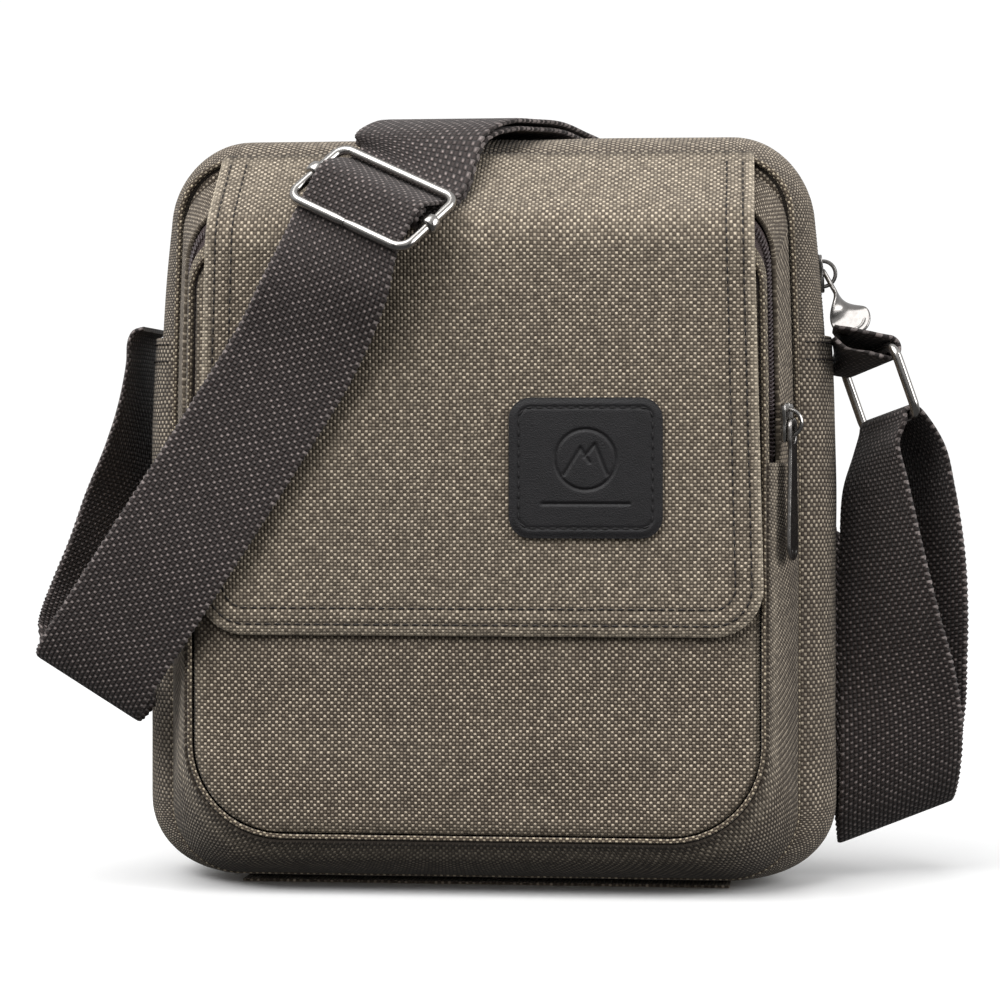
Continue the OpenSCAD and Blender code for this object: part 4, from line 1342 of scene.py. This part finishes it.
route = []
chainPath = topPath(mainLine, bag["seamZ"] + 1)
for k in range(181):
    p = along(chainPath, k / 180)
    route.append((gusset(p, 0.5, bandOff + 0.9), (p[2], 0, p[3]), (0, 1, 0)))
teeth("mainZipTeeth", route, 2.6, ["main_zip_chain"])
route = []
chainA, chainB = topPath(pocketLine, pocket["zipZ"] + 1), topPath(wallTop, pocket["zipZ"] + 1)
for k in range(181):
    p, q = along(chainA, k / 180), along(chainB, k / 180)
    mid = wall(p, q, zipMid, bandOff + 0.6)
    fore, rear = Vector(wall(p, q, zipMid - 0.05, bandOff)), Vector(wall(p, q, zipMid + 0.05, bandOff))
    route.append((mid, (p[2], 0, p[3]), rear - fore))
teeth("pocketZipTeeth", route, 2.2, [])

# back pocket zip: tape, coil and a folded edge above and below
clothSheet("backZipTape", 100, 10,
           lambda u, v: (lerp(-70, 70, u), 31.0 + 0.3 * math.sin(v * math.pi), lerp(171.5, 184.5, v)),
           0.6, ["back_zip_tape"], tape, "zip_tape", edge=0, middle=(0, 0, 178))
teeth("backZipTeeth", [((lerp(-67, 67, k / 60), 31.6, 178), (0, 1, 0), (0, 0, 1)) for k in range(61)], 2.4,
      ["back_zip_chain"])
# the folded edges take the brighter canvas copy: painted light on the folds
for name, z in (("backZipEdgeTop", 185.5), ("backZipEdgeLow", 170.5)):
    edge = tube([(x, 31.3, z) for x in range(-73, 74, 3)], 1.1, 10)
    settle(edge, name, "root", [], canvasLit)
stitches("backZipStitches", [[((x, 31.95, z), (0, 1, 0)) for x in range(-72, 73, 3)]
                             for z in (188.5, 167.5)], "root", darkThread)
print("zips made")

# inner layers keep their shape and get cloth, board and metal finishes
for names, material in ((("lining_front", "lining_back", "lining_gusset", "slip_pocket", "pocket_lining",
                          "back_pocket_lining"), lining), (("base_board",), board),
                        (("snap_stud", "snap_socket"), nickel)):
    for n in names:
        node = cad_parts[n]
        node.data.materials.clear()
        node.data.materials.append(material)

# studio
studio = dict(floor="#f4f4f4", sky=0.68, under=0.1, sun=2.5, key=7, rim=8)
deselect()
bpy.ops.mesh.primitive_plane_add(size=6, location=(0, 0, -0.0002))
floor = bpy.context.object
floor.name = "studioFloor"
ground = Finish("paleFloor", Specular_IOR_Level=0.4)
ground.feed(Base_Color=ground.mix(ground.noise(ground.place(), 4, 2), tint(studio["floor"]), tint("#fbfbfb")),
            Roughness=0.3 + 0.1 * ground.noise(ground.place(), 8, 2))
floor.data.materials.append(ground.material)
floor.visible_diffuse = floor.visible_glossy = False


def softbox(name, at, towards, wide, tall, power):
    lamp = bpy.data.lights.new(name, "AREA")
    lamp.shape, lamp.size, lamp.size_y, lamp.energy = "RECTANGLE", wide, tall, power
    made = bpy.data.objects.new(name, lamp)
    bpy.context.scene.collection.objects.link(made)
    made.location = at
    made.rotation_euler = (Vector(towards) - Vector(at)).to_track_quat("-Z", "Y").to_euler()
    return made


softbox("keyLight", (-0.7, -1.1, 1.1), (0, 0, 0.12), 0.7, 0.7, studio["key"])
sun = bpy.data.lights.new("softSun", "SUN")
sun.energy, sun.angle = studio["sun"], math.radians(55)
high = bpy.data.objects.new("softSun", sun)
bpy.context.scene.collection.objects.link(high)
high.rotation_euler = Vector((-0.32, -0.5, 1.0)).to_track_quat("Z", "Y").to_euler()
softbox("rimLight", (1.1, -0.4, 0.6), (0, 0, 0.12), 0.5, 0.8, studio["rim"])

# dark cards that only the metal sees
for name, at, turned, size in (("cardLeft", (-0.55, -0.75, 0.25), -0.6, (0.25, 0.9)),
                               ("cardRight", (0.62, -0.62, 0.3), 0.7, (0.3, 0.9)),
                               ("cardLow", (0.0, -0.9, 0.02), 0.0, (0.6, 0.16))):
    deselect()
    bpy.ops.mesh.primitive_plane_add(size=1, location=at, rotation=(math.pi / 2, 0, turned))
    card = bpy.context.object
    card.name = name
    card.scale = (size[0], size[1], 1)
    dark = Finish(name + "Black", Roughness=0.9, Base_Color=(0.01, 0.01, 0.01, 1))
    card.data.materials.append(dark.material)
    card.visible_camera = card.visible_diffuse = card.visible_shadow = False

world = bpy.data.worlds.new("studioWorld")
bpy.context.scene.world = world
world.use_nodes = True
nodes, links = world.node_tree.nodes, world.node_tree.links
back = nodes["Background"]
back.inputs[0].default_value = (1, 1, 1, 1)
path = nodes.new("ShaderNodeLightPath")
share = nodes.new("ShaderNodeMix")
share.data_type = "FLOAT"
where, split = nodes.new("ShaderNodeTexCoord"), nodes.new("ShaderNodeSeparateXYZ")
rise = nodes.new("ShaderNodeMapRange")
for k, value in enumerate((-0.25, 0.3, studio["under"], studio["sky"]), 1):
    rise.inputs[k].default_value = value
links.new(where.outputs["Generated"], split.inputs[0])
links.new(split.outputs[2], rise.inputs[0])
links.new(rise.outputs[0], share.inputs[2])
share.inputs[3].default_value = 1.05
links.new(path.outputs["Is Camera Ray"], share.inputs[0])
links.new(share.outputs[0], back.inputs[1])
bpy.context.scene.view_settings.view_transform = "Standard"

camera = bpy.data.cameras.new("studioCamera")
camera.lens, camera.sensor_width = 108, 36
eye = bpy.data.objects.new("studioCamera", camera)
bpy.context.scene.collection.objects.link(eye)
eye.location = (0.102, -0.9448, 0.134)
eye.rotation_euler = (math.radians(89.1), 0, math.radians(6))
bpy.context.scene.camera = eye
